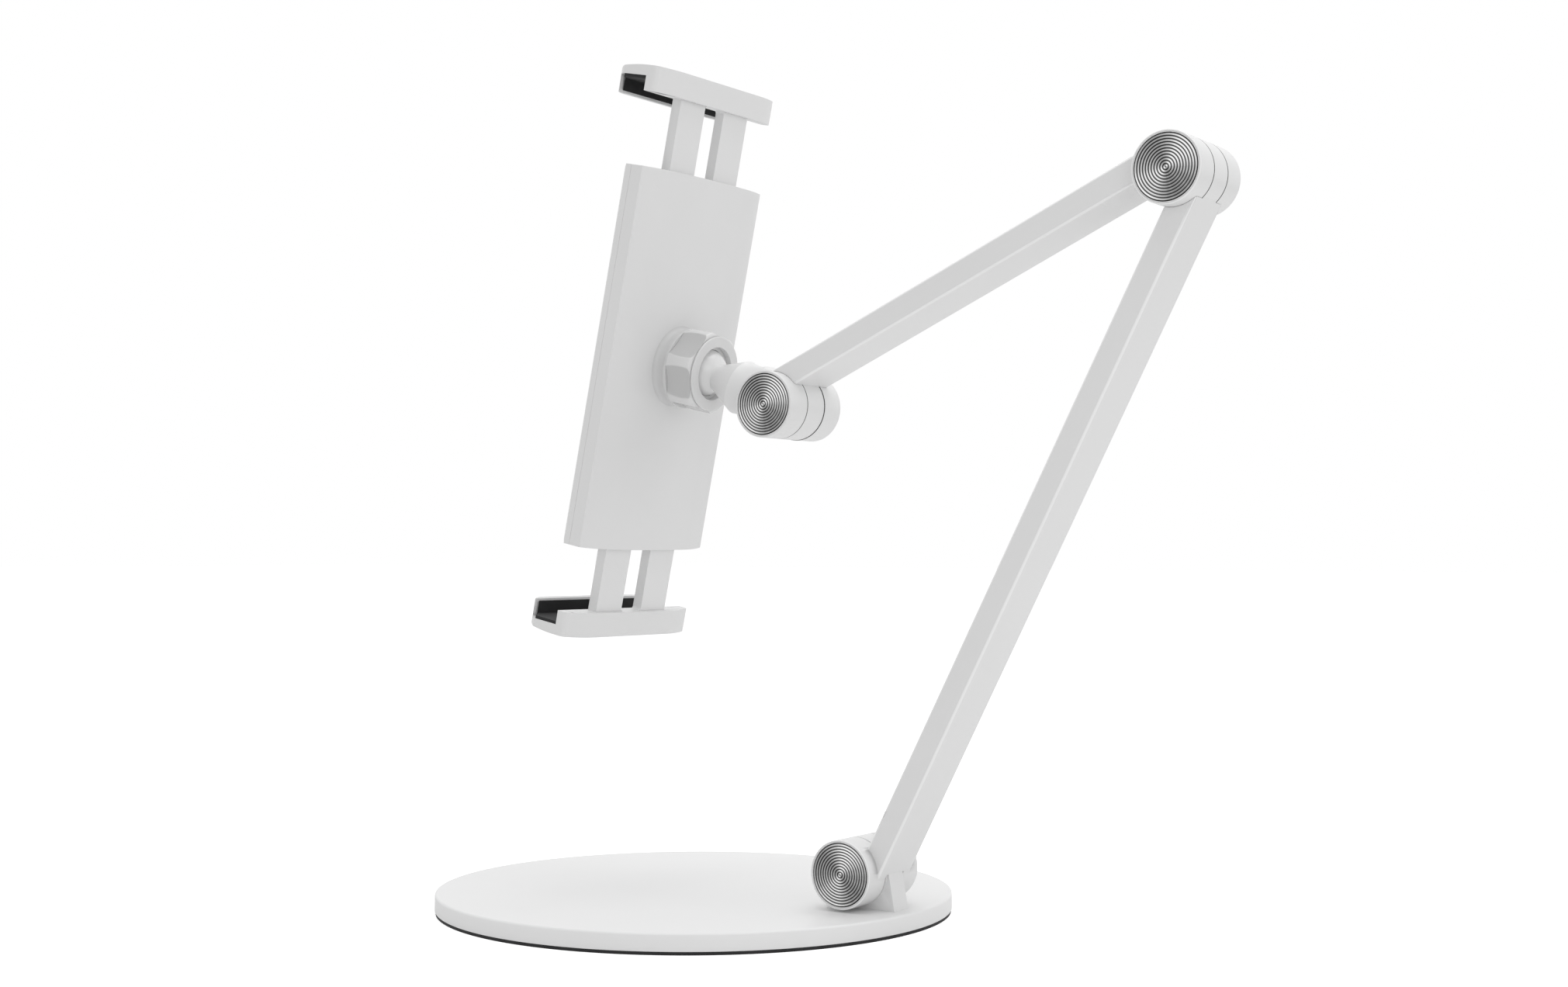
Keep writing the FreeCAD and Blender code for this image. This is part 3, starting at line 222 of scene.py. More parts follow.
def grained_finish(name, base_color, roughness, swell, grain, share, depth,
                   tone_swing=0.02, gloss_swing=0.06, metallic=0.0):
    """A painted, moulded, rubber or plated finish: a faint drift of tone and gloss over a fine grain"""
    material, shader, nodes, links = new_material(name, base_color, roughness)
    shader.inputs["Metallic"].default_value = metallic
    texture = nodes.new("ShaderNodeGroup")
    texture.node_tree = surface_grain
    texture.inputs["Swell Scale"].default_value = swell
    texture.inputs["Grain Scale"].default_value = grain
    texture.inputs["Grain Share"].default_value = share
    drift = texture.outputs["Drift"]
    plain, drifting, tinted = multiplied_tint(nodes)
    plain.default_value = (*base_color, 1.0)
    links.new(mapped(nodes, links, drift, 1.0 - tone_swing, 1.0, DRIFT_SPAN), drifting)
    links.new(tinted, shader.inputs["Base Color"])
    gloss = mapped(nodes, links, drift, roughness - gloss_swing / 2, roughness + gloss_swing / 2, DRIFT_SPAN)
    links.new(gloss, shader.inputs["Roughness"])
    bump = nodes.new("ShaderNodeBump")
    bump.inputs["Distance"].default_value = depth
    links.new(texture.outputs["Height"], bump.inputs["Height"])
    links.new(bump.outputs["Normal"], shader.inputs["Normal"])
    return material


def turned_piece(name, outline, axis, centre, facets, material):
    """A closed piece turned round an axis: its outline is a row of points (along, out) in millimetres"""
    along = Vector(axis).normalized()
    out = along.orthogonal().normalized()
    shape = bmesh.new()
    points = [shape.verts.new((Vector(centre) + along * level + out * reach) * MILLIMETRE)
              for level, reach in outline]
    edges = [shape.edges.new(pair) for pair in zip(points, points[1:])]
    bmesh.ops.spin(shape, geom=points + edges, cent=Vector(centre) * MILLIMETRE, axis=along,
                   angle=math.tau, steps=facets, use_merge=True, use_duplicate=False)
    bmesh.ops.remove_doubles(shape, verts=shape.verts, dist=TURNED_MERGE * MILLIMETRE)
    bmesh.ops.recalc_face_normals(shape, faces=shape.faces)
    return finished_object(name, shape, material)


def between(first, last, steps):
    """Evenly spaced values from the first to the last"""
    return [first + (last - first) * step / steps for step in range(steps + 1)]


def rounded_corner(along, out, radius, first, last, steps):
    """Points of a rounded corner round a centre, between two angles from the outward direction"""
    turns = [math.radians(degrees) for degrees in between(first, last, steps)]
    return [(along + radius * math.sin(turn), out + radius * math.cos(turn)) for turn in turns]


def smooth_shaded(piece, sharp_angle):
    """Smooth shading with the edges over an angle kept sharp"""
    piece.data.shade_smooth()
    piece.data.set_sharp_from_angle(angle=math.radians(sharp_angle))


powder_coat = grained_finish("powder_coat", POWDER_WHITE, roughness=0.42, swell=700.0, grain=2600.0,
                             share=0.45, depth=0.000008)
plate_outline = ([(PLATE_BOTTOM, 0.0)]
                 + rounded_corner(PLATE_BOTTOM + PLATE_BOTTOM_ROUND, PLATE_RADIUS - PLATE_BOTTOM_ROUND,
                                  PLATE_BOTTOM_ROUND, first=-90, last=0, steps=3)
                 + rounded_corner(PLATE_TOP - PLATE_TOP_ROUND, PLATE_RADIUS - PLATE_TOP_ROUND,
                                  PLATE_TOP_ROUND, first=0, last=90, steps=6)
                 + [(PLATE_TOP, 0.0)])
plate = turned_piece("foot_plate", plate_outline, (0, 0, 1), (0, 0, 0), PLATE_FACETS, powder_coat)
smooth_shaded(plate, sharp_angle=40)
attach(plate, "base")
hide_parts("base_plate")

# Foot pad: a thin disc of dark rubber sheet glued under the plate, a little smaller than it,
# so that it shows only as a fine dark line along the floor.
PAD_RADIUS = 84.7
PAD_TOP = 1.05
PAD_ROUND = 0.06
RUBBER_BLACK = (0.012, 0.012, 0.013)

rubber = grained_finish("dark_rubber", RUBBER_BLACK, roughness=0.72, swell=900.0, grain=4500.0,
                        share=0.6, depth=0.00002)
pad_outline = ([(0.0, 0.0)]
               + rounded_corner(PAD_ROUND, PAD_RADIUS - PAD_ROUND, PAD_ROUND, first=-90, last=0, steps=3)
               + [(PAD_TOP, PAD_RADIUS), (PAD_TOP, 0.0)])
pad = turned_piece("foot_pad", pad_outline, (0, 0, 1), (0, 0, 0), PLATE_FACETS, rubber)
smooth_shaded(pad, sharp_angle=40)
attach(pad, "base")
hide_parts("base_pad")

# Foot bracket: a zinc casting with a flared stem and the upright tongue of the foot joint,
# sprayed in satin white and held by two steel screws from below the plate.
EASED_ANGLE = 32.0
EASED_FACETS = 2
MERGE_REACH = 0.002
FLAT_ANGLE = 0.5
CUT_REACH = 0.001
BRACKET_ROUND = 0.25
BRACKET_FRONT_LOW = (0.0, 55.2, 6.5)
BRACKET_FRONT_HIGH = (0.0, 54.8, 14.55)
PAINT_WHITE = (0.80, 0.80, 0.80)
SCREW_STEEL = (0.50, 0.50, 0.49)


def cut_front(skin, low, high):
    """Cuts off what lies in front of the plane that leans from the low spot to the high one"""
    foot, head = (Vector(spot) * MILLIMETRE for spot in (low, high))
    cut = bmesh.ops.bisect_plane(skin, geom=[*skin.verts, *skin.edges, *skin.faces],
                                 dist=CUT_REACH * MILLIMETRE, plane_co=foot,
                                 plane_no=(head - foot).cross(Vector((1.0, 0.0, 0.0))), clear_inner=True)
    open_edges = [item for item in cut["geom_cut"] if isinstance(item, bmesh.types.BMEdge)]
    bmesh.ops.contextual_create(skin, geom=open_edges)
    bmesh.ops.recalc_face_normals(skin, faces=skin.faces)


def eased_copy(node, body, material, width=None, front=None):
    """The CAD piece after finishing: one merged skin, its sharp edges eased by a round of the given width"""
    skin = bmesh.new()
    skin.from_mesh(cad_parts[node].data)
    bmesh.ops.remove_doubles(skin, verts=skin.verts, dist=MERGE_REACH * MILLIMETRE)
    bmesh.ops.dissolve_limit(skin, angle_limit=math.radians(FLAT_ANGLE), verts=skin.verts, edges=skin.edges,
                             use_dissolve_boundaries=False)
    if front:
        cut_front(skin, *front)
    piece = finished_object(node + "_eased", skin, material)
    smooth_shaded(piece, EASED_ANGLE)
    if width:
        ease = piece.modifiers.new("eased_edges", "BEVEL")
        ease.limit_method = "ANGLE"
        ease.angle_limit = math.radians(EASED_ANGLE)
        ease.width = width * MILLIMETRE
        ease.segments = EASED_FACETS
        ease.harden_normals = True
    else:
        level = piece.modifiers.new("level_faces", "WEIGHTED_NORMAL")
        level.keep_sharp = True
    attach(piece, body)
    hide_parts(node)
    return piece


def dress(material, *nodes):
    """Gives CAD pieces that keep their own shape their finish"""
    for node in nodes:
        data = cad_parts[node].data
        data.materials.clear()
        data.materials.append(material)


satin_paint = grained_finish("satin_paint", PAINT_WHITE, roughness=0.30, swell=500.0, grain=3000.0,
                             share=0.3, depth=0.000003, tone_swing=0.012, gloss_swing=0.02)
plated_steel = grained_finish("plated_steel", SCREW_STEEL, roughness=0.32, swell=900.0, grain=4500.0,
                              share=0.6, depth=0.000006, metallic=1.0)
eased_copy("base_bracket", "base", satin_paint, BRACKET_ROUND,
           front=(BRACKET_FRONT_LOW, BRACKET_FRONT_HIGH))
dress(plated_steel, "bracket_screws")

# Arms: square steel tube with rounded corners between a cast fork and a cast tongue,
# pressed together, filled and sprayed as one. The rounded corners get a glossier and lighter
# paint, a painted highlight that shows as a fine bright line along the arm.
PAINTED_HIGHLIGHT_WHITE = (0.93, 0.93, 0.93)
PAINTED_HIGHLIGHT_TILTS = (0.30, 0.96)
DRUM_CENTRES = {"foot": (66.37, 18.05), "elbow": (175.164, 226.508), "wrist": (37.208, 164.624)}
DRUM_RADIUS = 10.7
ARM_ENDS = {"lower_arm": ("foot", "elbow"), "upper_arm": ("elbow", "wrist")}
CAST_GAPS = (1.0, 0.6)
FINISHED_GAPS = {"foot": 0.45, "elbow": 0.12, "wrist": 0.12}
GAP_SLACK = 0.03
SEAM_FACES = {"fork": 5.1, "tongue": 4.8}
SEAM_STEPS = {"fork": 0.1, "tongue": -0.1}
FACE_SLACK = 0.005


def close_shoulders(piece, ends):
    """Builds the cast shoulders up towards the round ends of the next arm, as the finished arm has them"""
    for here, there in (ends, ends[::-1]):
        centre = Vector((0.0, *DRUM_CENTRES[here]))
        finished = DRUM_RADIUS + FINISHED_GAPS[here]
        inward = (centre - Vector((0.0, *DRUM_CENTRES[there]))).normalized()
        for vertex in piece.data.vertices:
            spot = vertex.co / MILLIMETRE
            offset = Vector((0.0, spot.y, spot.z)) - centre
            along = offset.dot(inward)
            slack = min(abs(offset.length - DRUM_RADIUS - gap) for gap in CAST_GAPS)
            if along > 0.0 or slack > GAP_SLACK:
                continue
            side = offset.length ** 2 - along ** 2
            step = -math.sqrt(finished ** 2 - side) - along
            vertex.co = (spot + inward * step) * MILLIMETRE
    piece.data.update()


def widen_seams(piece, face, step):
    """Sets the flat sides that look at the next arm back a little, so that the seams show as dark lines"""
    for vertex in piece.data.vertices:
        across = vertex.co.x / MILLIMETRE
        if abs(abs(across) - face) < FACE_SLACK:
            vertex.co.x = math.copysign(face + step, across) * MILLIMETRE
    piece.data.update()


painted_highlight_paint = grained_finish("painted_highlight_paint", PAINTED_HIGHLIGHT_WHITE, roughness=0.24, swell=500.0, grain=3000.0,
                             share=0.3, depth=0.000003, tone_swing=0.01, gloss_swing=0.02)
for arm, arm_ends in ARM_ENDS.items():
    for part, slot in (("fork", "painted_casting"), ("tongue", "painted_casting"), ("tube", "painted_steel")):
        sprayed = eased_copy("%s_%s" % (arm, part), arm, satin_paint)
        close_shoulders(sprayed, arm_ends)
        if part in SEAM_FACES:
            widen_seams(sprayed, SEAM_FACES[part], SEAM_STEPS[part])
        # The faces of the rounded corners take the lighter paint: a painted highlight along the arm
        sprayed.data.materials.append(painted_highlight_paint)
        for facet in sprayed.data.polygons:
            facet.material_index = int(PAINTED_HIGHLIGHT_TILTS[0] < abs(facet.normal.x) < PAINTED_HIGHLIGHT_TILTS[1])

# Neck and ball: a cast neck that flares into the wrist drum, with a polished white ball on a
# short stem pressed into it.
polished_white = grained_finish("polished_white", PAINT_WHITE, roughness=0.16, swell=400.0, grain=2500.0,
                                share=0.2, depth=0.000002)
dress(satin_paint, "neck")
dress(polished_white, "ball_stud")

# Joint hardware: each drum is closed by a bolt and nut over friction and hard washers, and a
# turned aluminium cap with fine rings is pressed flush into each end. Black slip rings show
# in the seams between the fork and the tongue. They reach almost to the drum's face, so their
# black is partly the washers' own and partly painted shade in the seams.
CAP_RADIUS = 10.1
CAP_METAL_RADIUS = 9.7
CAP_LINE = 0.2
CAP_PAINT_RADIUS = 9.88
CAP_GROOVE = 0.5
CAP_OUTER = 14.6
CAP_INNER = 12.2
CAP_BEVEL = 0.15
CAP_RINGS = 11
CAP_RING_DEPTH = 0.10
CAP_CREST = (0.35, 0.65)
CAP_FACETS = 96
CAP_METAL = (0.62, 0.62, 0.62)
CAP_ROUGHNESS = 0.30
# The caps' painted reflection: wedges and streaks of light and shade in their colour, turned per drum
SHEEN_TURN = {"foot": -25.0, "elbow": 0.0, "wrist": 0.0}
WEDGES = 2.0
WEDGE_ANGLE = 38.0
WEDGE_LIGHT = 0.64
WEDGE_SWING = 0.33
CROSS_WEDGES = 4.0
CROSS_SWING = -0.07
STREAK_SCALE = 5.0
STREAK_DETAIL = 5.0
STREAK_ROUGHNESS = 0.65
STREAK_SWING = 0.34
LEAST_LIGHT = 0.34
MOST_LIGHT = 0.95
# The ring grooves: a painted shade in the caps' colour, and their roughness
GROOVE_SPAN = (0.17, 0.33)
GROOVE_PAINTED_SHADE = 0.10
GROOVE_ROUGHNESS = 0.42
CREST_ROUGHNESS = 0.24
SEAM_SPANS = {"foot": (4.81, 5.15), "elbow": (4.71, 5.19), "wrist": (4.71, 5.09)}
SEAM_BORE = 2.7
SEAM_SHADE_REACH = {"foot": (10.45, 10.45), "elbow": (10.69, 10.69), "wrist": (10.66, 10.80)}
SLIP_AND_SEAM_SHADE_BLACK = (0.02, 0.02, 0.02)
DRUM_BODIES = {"foot": "lower_arm", "elbow": "upper_arm", "wrist": "neck_and_ball"}


def calculator(nodes, links):
    """Gives the function that adds one maths node, whose inputs are numbers or other nodes' results"""
    def calculated(operation, *values):
        node = nodes.new("ShaderNodeMath")
        node.operation = operation
        for socket, value in zip(node.inputs, values):
            if isinstance(value, (int, float)):
                socket.default_value = value
            else:
                links.new(value, socket)
        return node.outputs[0]

    return calculated


def painted_reflection_wedges(nodes, links, calculated, face):
    """Painted reflection: wedges of light and shade on a turned face, broken by fine streaks from its centre
    """
    split = nodes.new("ShaderNodeSeparateXYZ")
    links.new(face, split.inputs["Vector"])
    angle = calculated("ARCTAN2", split.outputs["Y"], split.outputs["X"])
    unit = nodes.new("ShaderNodeVectorMath")
    unit.operation = "NORMALIZE"
    links.new(face, unit.inputs[0])
    streaks = nodes.new("ShaderNodeTexNoise")
    streaks.inputs["Scale"].default_value = STREAK_SCALE
    streaks.inputs["Detail"].default_value = STREAK_DETAIL
    streaks.inputs["Roughness"].default_value = STREAK_ROUGHNESS
    links.new(unit.outputs["Vector"], streaks.inputs["Vector"])
    turned = calculated("SUBTRACT", angle, math.radians(WEDGE_ANGLE))
    wedge = calculated("COSINE", calculated("MULTIPLY", turned, WEDGES))
    cross = calculated("COSINE", calculated("MULTIPLY", angle, CROSS_WEDGES))
    light = calculated("MULTIPLY_ADD", wedge, WEDGE_SWING, WEDGE_LIGHT)
    light = calculated("MULTIPLY_ADD", cross, CROSS_SWING, light)
    streak = calculated("MULTIPLY_ADD", streaks.outputs["Fac"], STREAK_SWING, -STREAK_SWING / 2)
    light = calculated("ADD", light, streak)
    return calculated("MINIMUM", calculated("MAXIMUM", light, LEAST_LIGHT), MOST_LIGHT)


def ring_crests_and_painted_groove_shade(nodes, links, calculated, face):
    """The rings of a turned face: one on their crests, and near nothing in the grooves between, a painted
    shade
    """
    length = nodes.new("ShaderNodeVectorMath")
    length.operation = "LENGTH"
    links.new(face, length.inputs[0])
    rings = calculated("PINGPONG", calculated("MULTIPLY", length.outputs["Value"], CAP_RINGS), 0.5)
    return mapped(nodes, links, rings, GROOVE_PAINTED_SHADE, 1.0, GROOVE_SPAN)


def turned_metal_painted_sheen():
    """The look of a turned face: rings with painted shade in their grooves, and painted reflection wedges"""
    material, shader, nodes, links = new_material("turned_aluminium_painted_sheen", CAP_METAL, CAP_ROUGHNESS)
    shader.inputs["Metallic"].default_value = 1.0
    face = nodes.new("ShaderNodeUVMap")
    face.uv_map = "turned_face"
    calculated = calculator(nodes, links)
    crest = ring_crests_and_painted_groove_shade(nodes, links, calculated, face.outputs["UV"])
    light = painted_reflection_wedges(nodes, links, calculated, face.outputs["UV"])
    tone = calculated("MULTIPLY", light, crest)
    grey = nodes.new("ShaderNodeCombineColor")
    for channel in ("Red", "Green", "Blue"):
        links.new(tone, grey.inputs[channel])
    links.new(grey.outputs["Color"], shader.inputs["Base Color"])
    links.new(mapped(nodes, links, crest, GROOVE_ROUGHNESS, CREST_ROUGHNESS), shader.inputs["Roughness"])
    return material


def cap_outline(side):
    """Half section of a cap: its ringed face, a fine groove, its painted rim, its side and its flat back"""
    pitch = (CAP_METAL_RADIUS - CAP_BEVEL) / CAP_RINGS
    valley = CAP_OUTER - CAP_RING_DEPTH
    rim = CAP_METAL_RADIUS + CAP_LINE
    outline = [(valley, 0.0)]
    for ring in range(CAP_RINGS):
        outline += [(CAP_OUTER, (ring + crest) * pitch) for crest in CAP_CREST]
        outline.append((valley, (ring + 1.0) * pitch))
    outline[-1] = (CAP_OUTER, CAP_METAL_RADIUS - CAP_BEVEL)
    outline += [(CAP_OUTER - CAP_BEVEL, CAP_METAL_RADIUS), (CAP_OUTER - CAP_GROOVE, CAP_METAL_RADIUS),
                (CAP_OUTER - CAP_GROOVE, rim), (CAP_OUTER, rim),
                (CAP_OUTER, CAP_RADIUS), (CAP_INNER, CAP_RADIUS), (CAP_INNER, 0.0)]
    return [(side * level, reach) for level, reach in outline]


def map_turned_face(piece, back, up, turn, side):
    """Lays the cap's face out flat, with its centre at zero and its rim at one"""
    layer = piece.data.uv_layers.new(name="turned_face")
    cosine = math.cos(math.radians(turn))
    sine = math.sin(math.radians(turn))
    for loop in piece.data.loops:
        spot = piece.data.vertices[loop.vertex_index].co / MILLIMETRE
        across = side * (spot.y - back) / CAP_METAL_RADIUS
        rise = (spot.z - up) / CAP_METAL_RADIUS
        layer.data[loop.index].uv = (across * cosine - rise * sine, across * sine + rise * cosine)


def paint_rim(piece, back, up):
    """Gives the cap's faces outside its groove the paint of the arm"""
    piece.data.materials.append(satin_paint)
    for facet in piece.data.polygons:
        spot = facet.center / MILLIMETRE
        facet.material_index = int(math.hypot(spot.y - back, spot.z - up) > CAP_PAINT_RADIUS)


# The caps' colour carries a painted reflection and painted shade in the ring grooves
turned_aluminium_painted_sheen = turned_metal_painted_sheen()
slip_plastic = grained_finish("slip_plastic", SLIP_AND_SEAM_SHADE_BLACK, roughness=0.6, swell=900.0, grain=4500.0,
                              share=0.6, depth=0.00001)
for drum, (drum_back, drum_up) in DRUM_CENTRES.items():
    drum_centre = (0, drum_back, drum_up)
    for end, side in (("near", 1), ("far", -1)):
        cap = turned_piece("%s_turned_cap_%s" % (drum, end), cap_outline(side), (1, 0, 0), drum_centre,
                           CAP_FACETS, turned_aluminium_painted_sheen)
        smooth_shaded(cap, sharp_angle=25)
        map_turned_face(cap, drum_back, drum_up, SHEEN_TURN[drum], side)
        paint_rim(cap, drum_back, drum_up)
        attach(cap, DRUM_BODIES[drum])
        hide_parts("%s_cap_%s" % (drum, end))
    dress(plated_steel, drum + "_bolt", drum + "_nut", drum + "_hard_washers")
    # Seam rings: slip washers reaching almost to the seams' mouths, their black partly painted shade
    start, finish = SEAM_SPANS[drum]
    for end, side, reach in zip(("near", "far"), (1, -1), SEAM_SHADE_REACH[drum]):
        section = [(start, SEAM_BORE), (start, reach), (finish, reach), (finish, SEAM_BORE),
                   (start, SEAM_BORE)]
        seam_shade_ring = turned_piece("%s_seam_ring_%s" % (drum, end),
                                 [(side * level, out) for level, out in section],
                                 (1, 0, 0), drum_centre, CAP_FACETS, slip_plastic)
        smooth_shaded(seam_shade_ring, sharp_angle=30)
        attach(seam_shade_ring, DRUM_BODIES[drum])
        if end == "near":
            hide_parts(drum + "_friction_washers")

# Ball socket and its liners: a threaded socket moulded in white nylon with a short neck under
# its flange, screwed to the clamp body from inside, with two slippery liners that grip the ball.
CLAMP_ORIGIN = Vector((0.0, -20.531, 182.437))
CLAMP_BACK = Vector((0.0, 0.97897, -0.20398))
CLAMP_UP = Vector((0.0, 0.20398, 0.97897))
CLAMP_FACE = 13.0
SOCKET_START = 11.2
SOCKET_REGISTER = 6.4
SOCKET_NECK = 12.1
SOCKET_COVE = 1.5
FLANGE_COVE = 1.0
FLANGE_START = 17.2
FLANGE_END = 18.2
FLANGE_RADIUS = 13.35
FLANGE_ROUND = 0.15
BOSS_RADIUS = 11.5
BOSS_END = 25.1
BALL_DEPTH = 24.05
SEAT_RADIUS = 9.1
SOCKET_FACETS = 180
# The socket's white nylon is made greyer than the other mouldings: a painted shade round the nut's foot
SOCKET_WHITE_WITH_PAINTED_SHADE = (0.68, 0.68, 0.68)

socket_outline = (
    [(SOCKET_START, 0.0), (SOCKET_START, SOCKET_REGISTER), (CLAMP_FACE, SOCKET_REGISTER)]
    + rounded_corner(CLAMP_FACE + SOCKET_COVE, SOCKET_NECK + SOCKET_COVE, SOCKET_COVE,
                     first=-90, last=-180, steps=6)
    + rounded_corner(FLANGE_START - FLANGE_COVE, SOCKET_NECK + FLANGE_COVE, FLANGE_COVE,
                     first=180, last=90, steps=5)
    + rounded_corner(FLANGE_START + FLANGE_ROUND, FLANGE_RADIUS - FLANGE_ROUND, FLANGE_ROUND,
                     first=-90, last=0, steps=3)
    + rounded_corner(FLANGE_END - FLANGE_ROUND, FLANGE_RADIUS - FLANGE_ROUND, FLANGE_ROUND,
                     first=0, last=90, steps=3)
    + [(FLANGE_END, BOSS_RADIUS), (BOSS_END, BOSS_RADIUS), (BOSS_END, SEAT_RADIUS)]
    + rounded_corner(BALL_DEPTH, 0.0, SEAT_RADIUS, first=0, last=-90, steps=16))
gloss_moulding = grained_finish("gloss_moulding", PAINT_WHITE, roughness=0.20, swell=400.0, grain=2500.0,
                                share=0.2, depth=0.000003)
socket_moulding_with_painted_shade = grained_finish("socket_moulding_with_painted_shade", SOCKET_WHITE_WITH_PAINTED_SHADE, roughness=0.34, swell=400.0, grain=2500.0,
                                 share=0.2, depth=0.000003)
socket = turned_piece("ball_socket_turned", socket_outline, CLAMP_BACK, CLAMP_ORIGIN, SOCKET_FACETS,
                      socket_moulding_with_painted_shade)
smooth_shaded(socket, sharp_angle=35)
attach(socket, "holder")
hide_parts("ball_socket")
dress(gloss_moulding, "seat_ring", "seat_cup")
dress(plated_steel, "socket_screws")

# Ring nut: a glossy moulded nut with a slight crown, six shallow finger hollows round its side
# and a thin collar round its mouth, run down on the socket's thread to clamp the ball.
NUT_START = 18.3
THREAD_RADIUS = 11.6
NUT_CROWN_RADIUS = 13.9
NUT_CROWN_AT = 24.0
NUT_CROWN_FALL = 0.012
NUT_CROWN_STEPS = 14
NUT_ROUND_START = 27.0
NUT_ROUND_STEPS = 8
NUT_SHOULDER_END = 28.1
NUT_SHOULDER_RADIUS = 12.6
NUT_GROOVE_RADIUS = 11.9
COLLAR_START = 28.35
COLLAR_RADIUS = 12.4
COLLAR_ROUND = 0.2
NUT_FACE = 29.0
MOUTH_RADIUS = 8.85
MOUTH_FLOOR = 26.6
LIP_START = 25.6
LIP_REACH = 8.22
LIP_STEPS = 3
HOLLOWS = 6
HOLLOW_TURN = 40.0
HOLLOW_FLOOR = 12.2
HOLLOW_RADIUS = 31.8
HOLLOW_EDGE = 0.25
HOLLOW_END_SLACK = 0.01
HOLLOW_PAINTED_SHADE = 0.76
NUT_FACETS = 360
# The nut's white is made a little darker than the other glossy mouldings: a painted shade
NUT_WHITE_WITH_PAINTED_SHADE = (0.76, 0.76, 0.76)


def crown(along):
    """The nut's outside radius at a distance along its axis"""
    return NUT_CROWN_RADIUS - NUT_CROWN_FALL * (along - NUT_CROWN_AT) ** 2


def nut_outline():
    """Half section of the nut, from its threaded bore over its crown and collar into its mouth and lip"""
    outline = [(NUT_START, THREAD_RADIUS)]
    outline += [(along, crown(along)) for along in between(NUT_START, NUT_ROUND_START, NUT_CROWN_STEPS)]
    length = NUT_SHOULDER_END - NUT_ROUND_START
    drop = crown(NUT_ROUND_START) - NUT_SHOULDER_RADIUS
    for degrees in between(0, 90, NUT_ROUND_STEPS)[1:]:
        turn = math.radians(degrees)
        outline.append((NUT_ROUND_START + length * math.sin(turn),
                        NUT_SHOULDER_RADIUS + drop * math.cos(turn)))
    outline += [(NUT_SHOULDER_END, NUT_GROOVE_RADIUS), (COLLAR_START, NUT_GROOVE_RADIUS)]
    outline += rounded_corner(COLLAR_START + COLLAR_ROUND / 2, COLLAR_RADIUS - COLLAR_ROUND / 2,
                              COLLAR_ROUND / 2, first=-90, last=0, steps=3)
    outline += rounded_corner(NUT_FACE - COLLAR_ROUND, COLLAR_RADIUS - COLLAR_ROUND, COLLAR_ROUND,
                              first=0, last=90, steps=4)
    outline += rounded_corner(NUT_FACE - COLLAR_ROUND, MOUTH_RADIUS + COLLAR_ROUND, COLLAR_ROUND,
                              first=90, last=180, steps=4)
    outline.append((MOUTH_FLOOR, MOUTH_RADIUS))
    outline += [(along, math.sqrt(LIP_REACH ** 2 - (along - BALL_DEPTH) ** 2))
                for along in between(MOUTH_FLOOR, LIP_START, LIP_STEPS)]
    return outline + [(LIP_START, THREAD_RADIUS), (NUT_START, THREAD_RADIUS)]


def sink_hollows(piece):
    """Presses the finger hollows into the nut's side, each one the side of a wide cylinder, and marks how
    deep each point is pressed for their painted shade
    """
    offset = HOLLOW_FLOOR + HOLLOW_RADIUS
    pitch = math.tau / HOLLOWS
    mask = piece.data.attributes.new("hollow_shade_mask", "FLOAT", "POINT")
    for vertex in piece.data.vertices:
        spot = vertex.co / MILLIMETRE - CLAMP_ORIGIN
        along = spot.dot(CLAMP_BACK)
        across = spot - CLAMP_BACK * along
        if across.length < HOLLOW_FLOOR or along > NUT_SHOULDER_END + HOLLOW_END_SLACK:
            continue
        turn = math.atan2(across.dot(CLAMP_UP), across.x) - math.radians(HOLLOW_TURN)
        turn -= pitch * round(turn / pitch)
        floor = offset * math.cos(turn) - math.sqrt(HOLLOW_RADIUS ** 2 - (offset * math.sin(turn)) ** 2)
        if across.length > floor:
            mask.data[vertex.index].value = min((across.length - floor) / HOLLOW_EDGE, 1.0)
            vertex.co = (CLAMP_ORIGIN + CLAMP_BACK * along + across.normalized() * floor) * MILLIMETRE
    piece.data.update()


def paint_shade_in_hollows(material):
    """Greys the finger hollows a little: a painted shade in the recesses"""
    nodes = material.node_tree.nodes
    links = material.node_tree.links
    base_color = nodes["Principled BSDF"].inputs["Base Color"]
    mask = nodes.new("ShaderNodeAttribute")
    mask.attribute_name = "hollow_shade_mask"
    tone = mapped(nodes, links, mask.outputs["Fac"], 1.0, HOLLOW_PAINTED_SHADE)
    plain, greying, greyed = multiplied_tint(nodes)
    links.new(base_color.links[0].from_socket, plain)
    links.new(tone, greying)
    links.new(greyed, base_color)


nut_moulding_with_painted_shade = grained_finish("nut_moulding_with_painted_shade", NUT_WHITE_WITH_PAINTED_SHADE, roughness=0.18, swell=400.0, grain=2500.0,
                              share=0.2, depth=0.000003)
# The hollows are greyed in the nut's colour: a painted shade
paint_shade_in_hollows(nut_moulding_with_painted_shade)
nut = turned_piece("ring_nut_moulded", nut_outline(), CLAMP_BACK, CLAMP_ORIGIN, NUT_FACETS, nut_moulding_with_painted_shade)
sink_hollows(nut)
smooth_shaded(nut, sharp_angle=38)
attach(nut, "clamp_nut")
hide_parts("ring_nut")

# Clamp body: a moulded shell and a flat front cover held by screws from the front, with a
# dark rubber rest on the cover for the back of what it holds.
MOULDING_WHITE = (0.79, 0.79, 0.79)
BODY_ROUND = 0.25

fine_moulding = grained_finish("fine_moulding", MOULDING_WHITE, roughness=0.40, swell=1200.0, grain=5200.0,
                               share=0.6, depth=0.000006)
eased_copy("holder_shell", "holder", fine_moulding, BODY_ROUND)
eased_copy("holder_cover", "holder", fine_moulding, BODY_ROUND)
eased_copy("holder_rest", "holder", rubber, BODY_ROUND)
dress(plated_steel, "cover_screws")

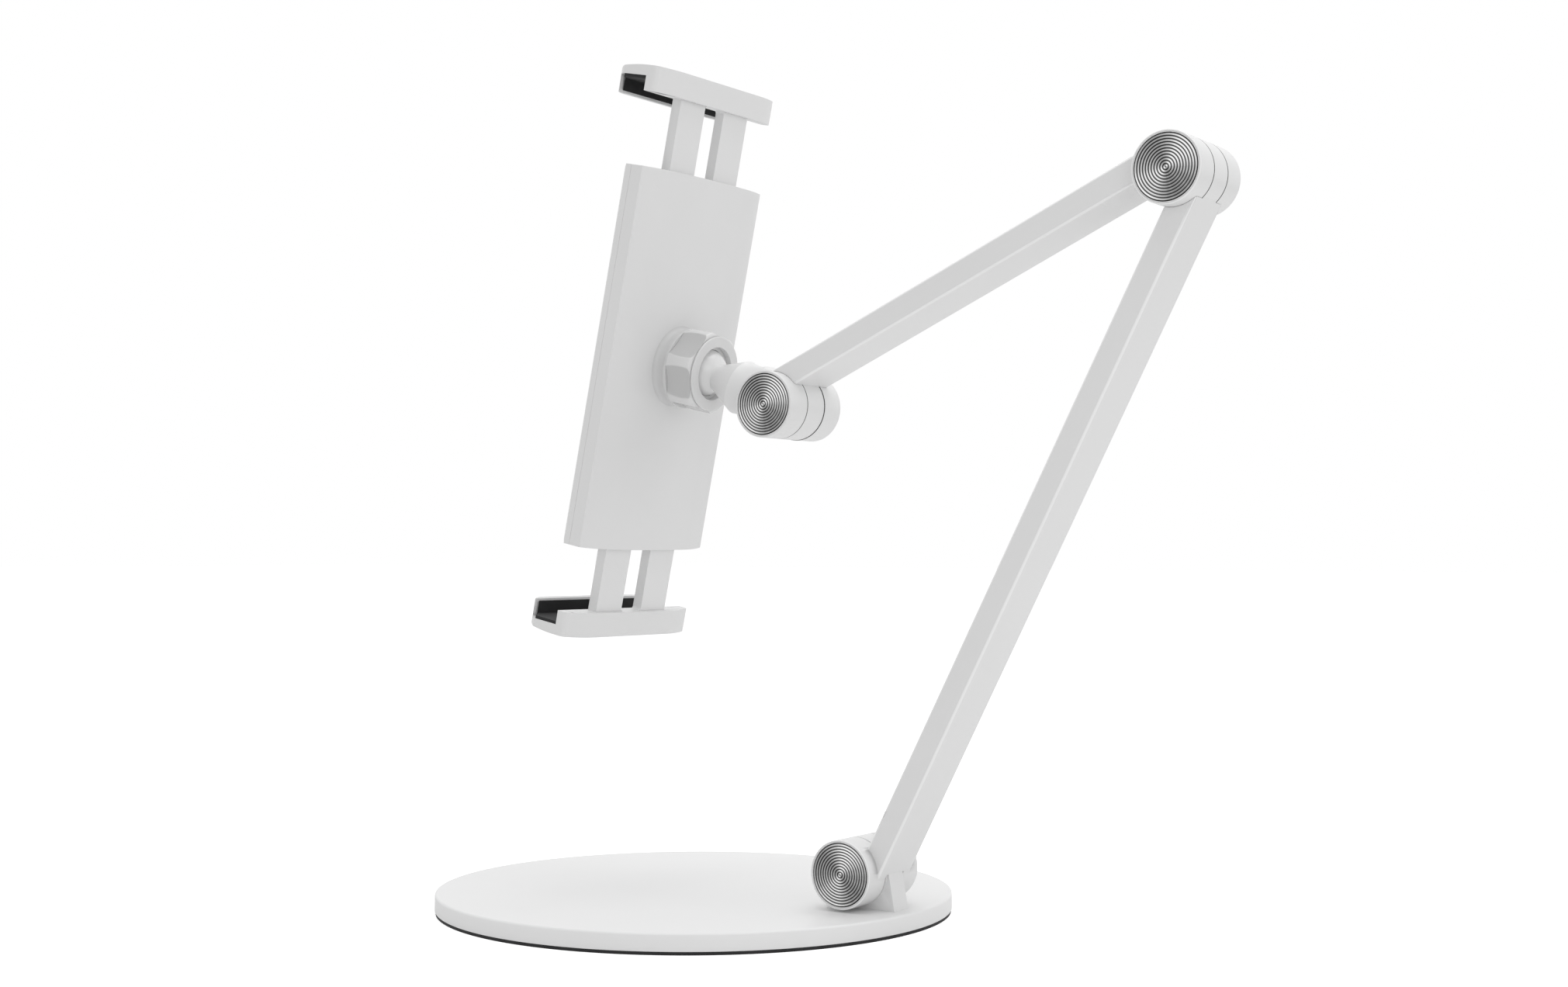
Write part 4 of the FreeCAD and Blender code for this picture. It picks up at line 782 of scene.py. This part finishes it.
# Sliders and jaws: each slider is a pressed steel plate with two legs, coated white, and
# carries a moulded jaw with a dark rubber lining. A coil spring of steel wire, pressed between
# the slider's yoke and the clamp body's end wall, draws the jaw in.
SLIDER_ROUND = 0.2
JAW_ROUND = 0.35
SPRING_DEPTH = 8.85
SPRING_RADIUS = 1.75
SPRING_WIRE = 0.35
SPRING_WIRE_SIDES = 8
SPRING_TURNS = 10
SPRING_STEPS = 240
SPRING_ENDS = {"upper": (59.1, 30.0), "lower": (-59.0, -28.2)}
JAW_BODIES = {"upper": "top_jaw", "lower": "bottom_jaw"}


def coil_spring(name, wall, yoke, body):
    """A wire spring wound from the end wall to the slider's yoke, as the clamp rests"""
    fixed, moving = (CLAMP_ORIGIN + CLAMP_BACK * SPRING_DEPTH + CLAMP_UP * level for level in (wall, yoke))
    turned = Matrix((CLAMP_BACK, CLAMP_UP, Vector((1.0, 0.0, 0.0)))).transposed().to_4x4()
    place = Matrix.Translation((fixed + CLAMP_BACK * SPRING_RADIUS) * MILLIMETRE) @ turned
    shape = bmesh.new()
    bmesh.ops.create_circle(shape, segments=SPRING_WIRE_SIDES, radius=SPRING_WIRE * MILLIMETRE, matrix=place)
    bmesh.ops.spin(shape, geom=[*shape.verts, *shape.edges], cent=fixed * MILLIMETRE, axis=CLAMP_UP,
                   dvec=(moving - fixed) * MILLIMETRE / SPRING_STEPS, angle=math.tau * SPRING_TURNS,
                   steps=SPRING_STEPS, use_duplicate=False)
    ends = [edge for edge in shape.edges if edge.is_boundary]
    bmesh.ops.holes_fill(shape, edges=ends, sides=SPRING_WIRE_SIDES)
    bmesh.ops.recalc_face_normals(shape, faces=shape.faces)
    spring = finished_object(name, shape, plated_steel)
    smooth_shaded(spring, sharp_angle=60)
    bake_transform(spring)
    return spring


for jaw, body in JAW_BODIES.items():
    eased_copy(jaw + "_slider", body, satin_paint, SLIDER_ROUND)
    eased_copy(jaw + "_jaw", body, fine_moulding, JAW_ROUND)
    dress(rubber, jaw + "_jaw_lining")
    dress(fine_moulding, jaw + "_jaw_screws")
    spring = coil_spring(jaw + "_coil_spring", *SPRING_ENDS[jaw], body)
    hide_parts(jaw + "_spring")
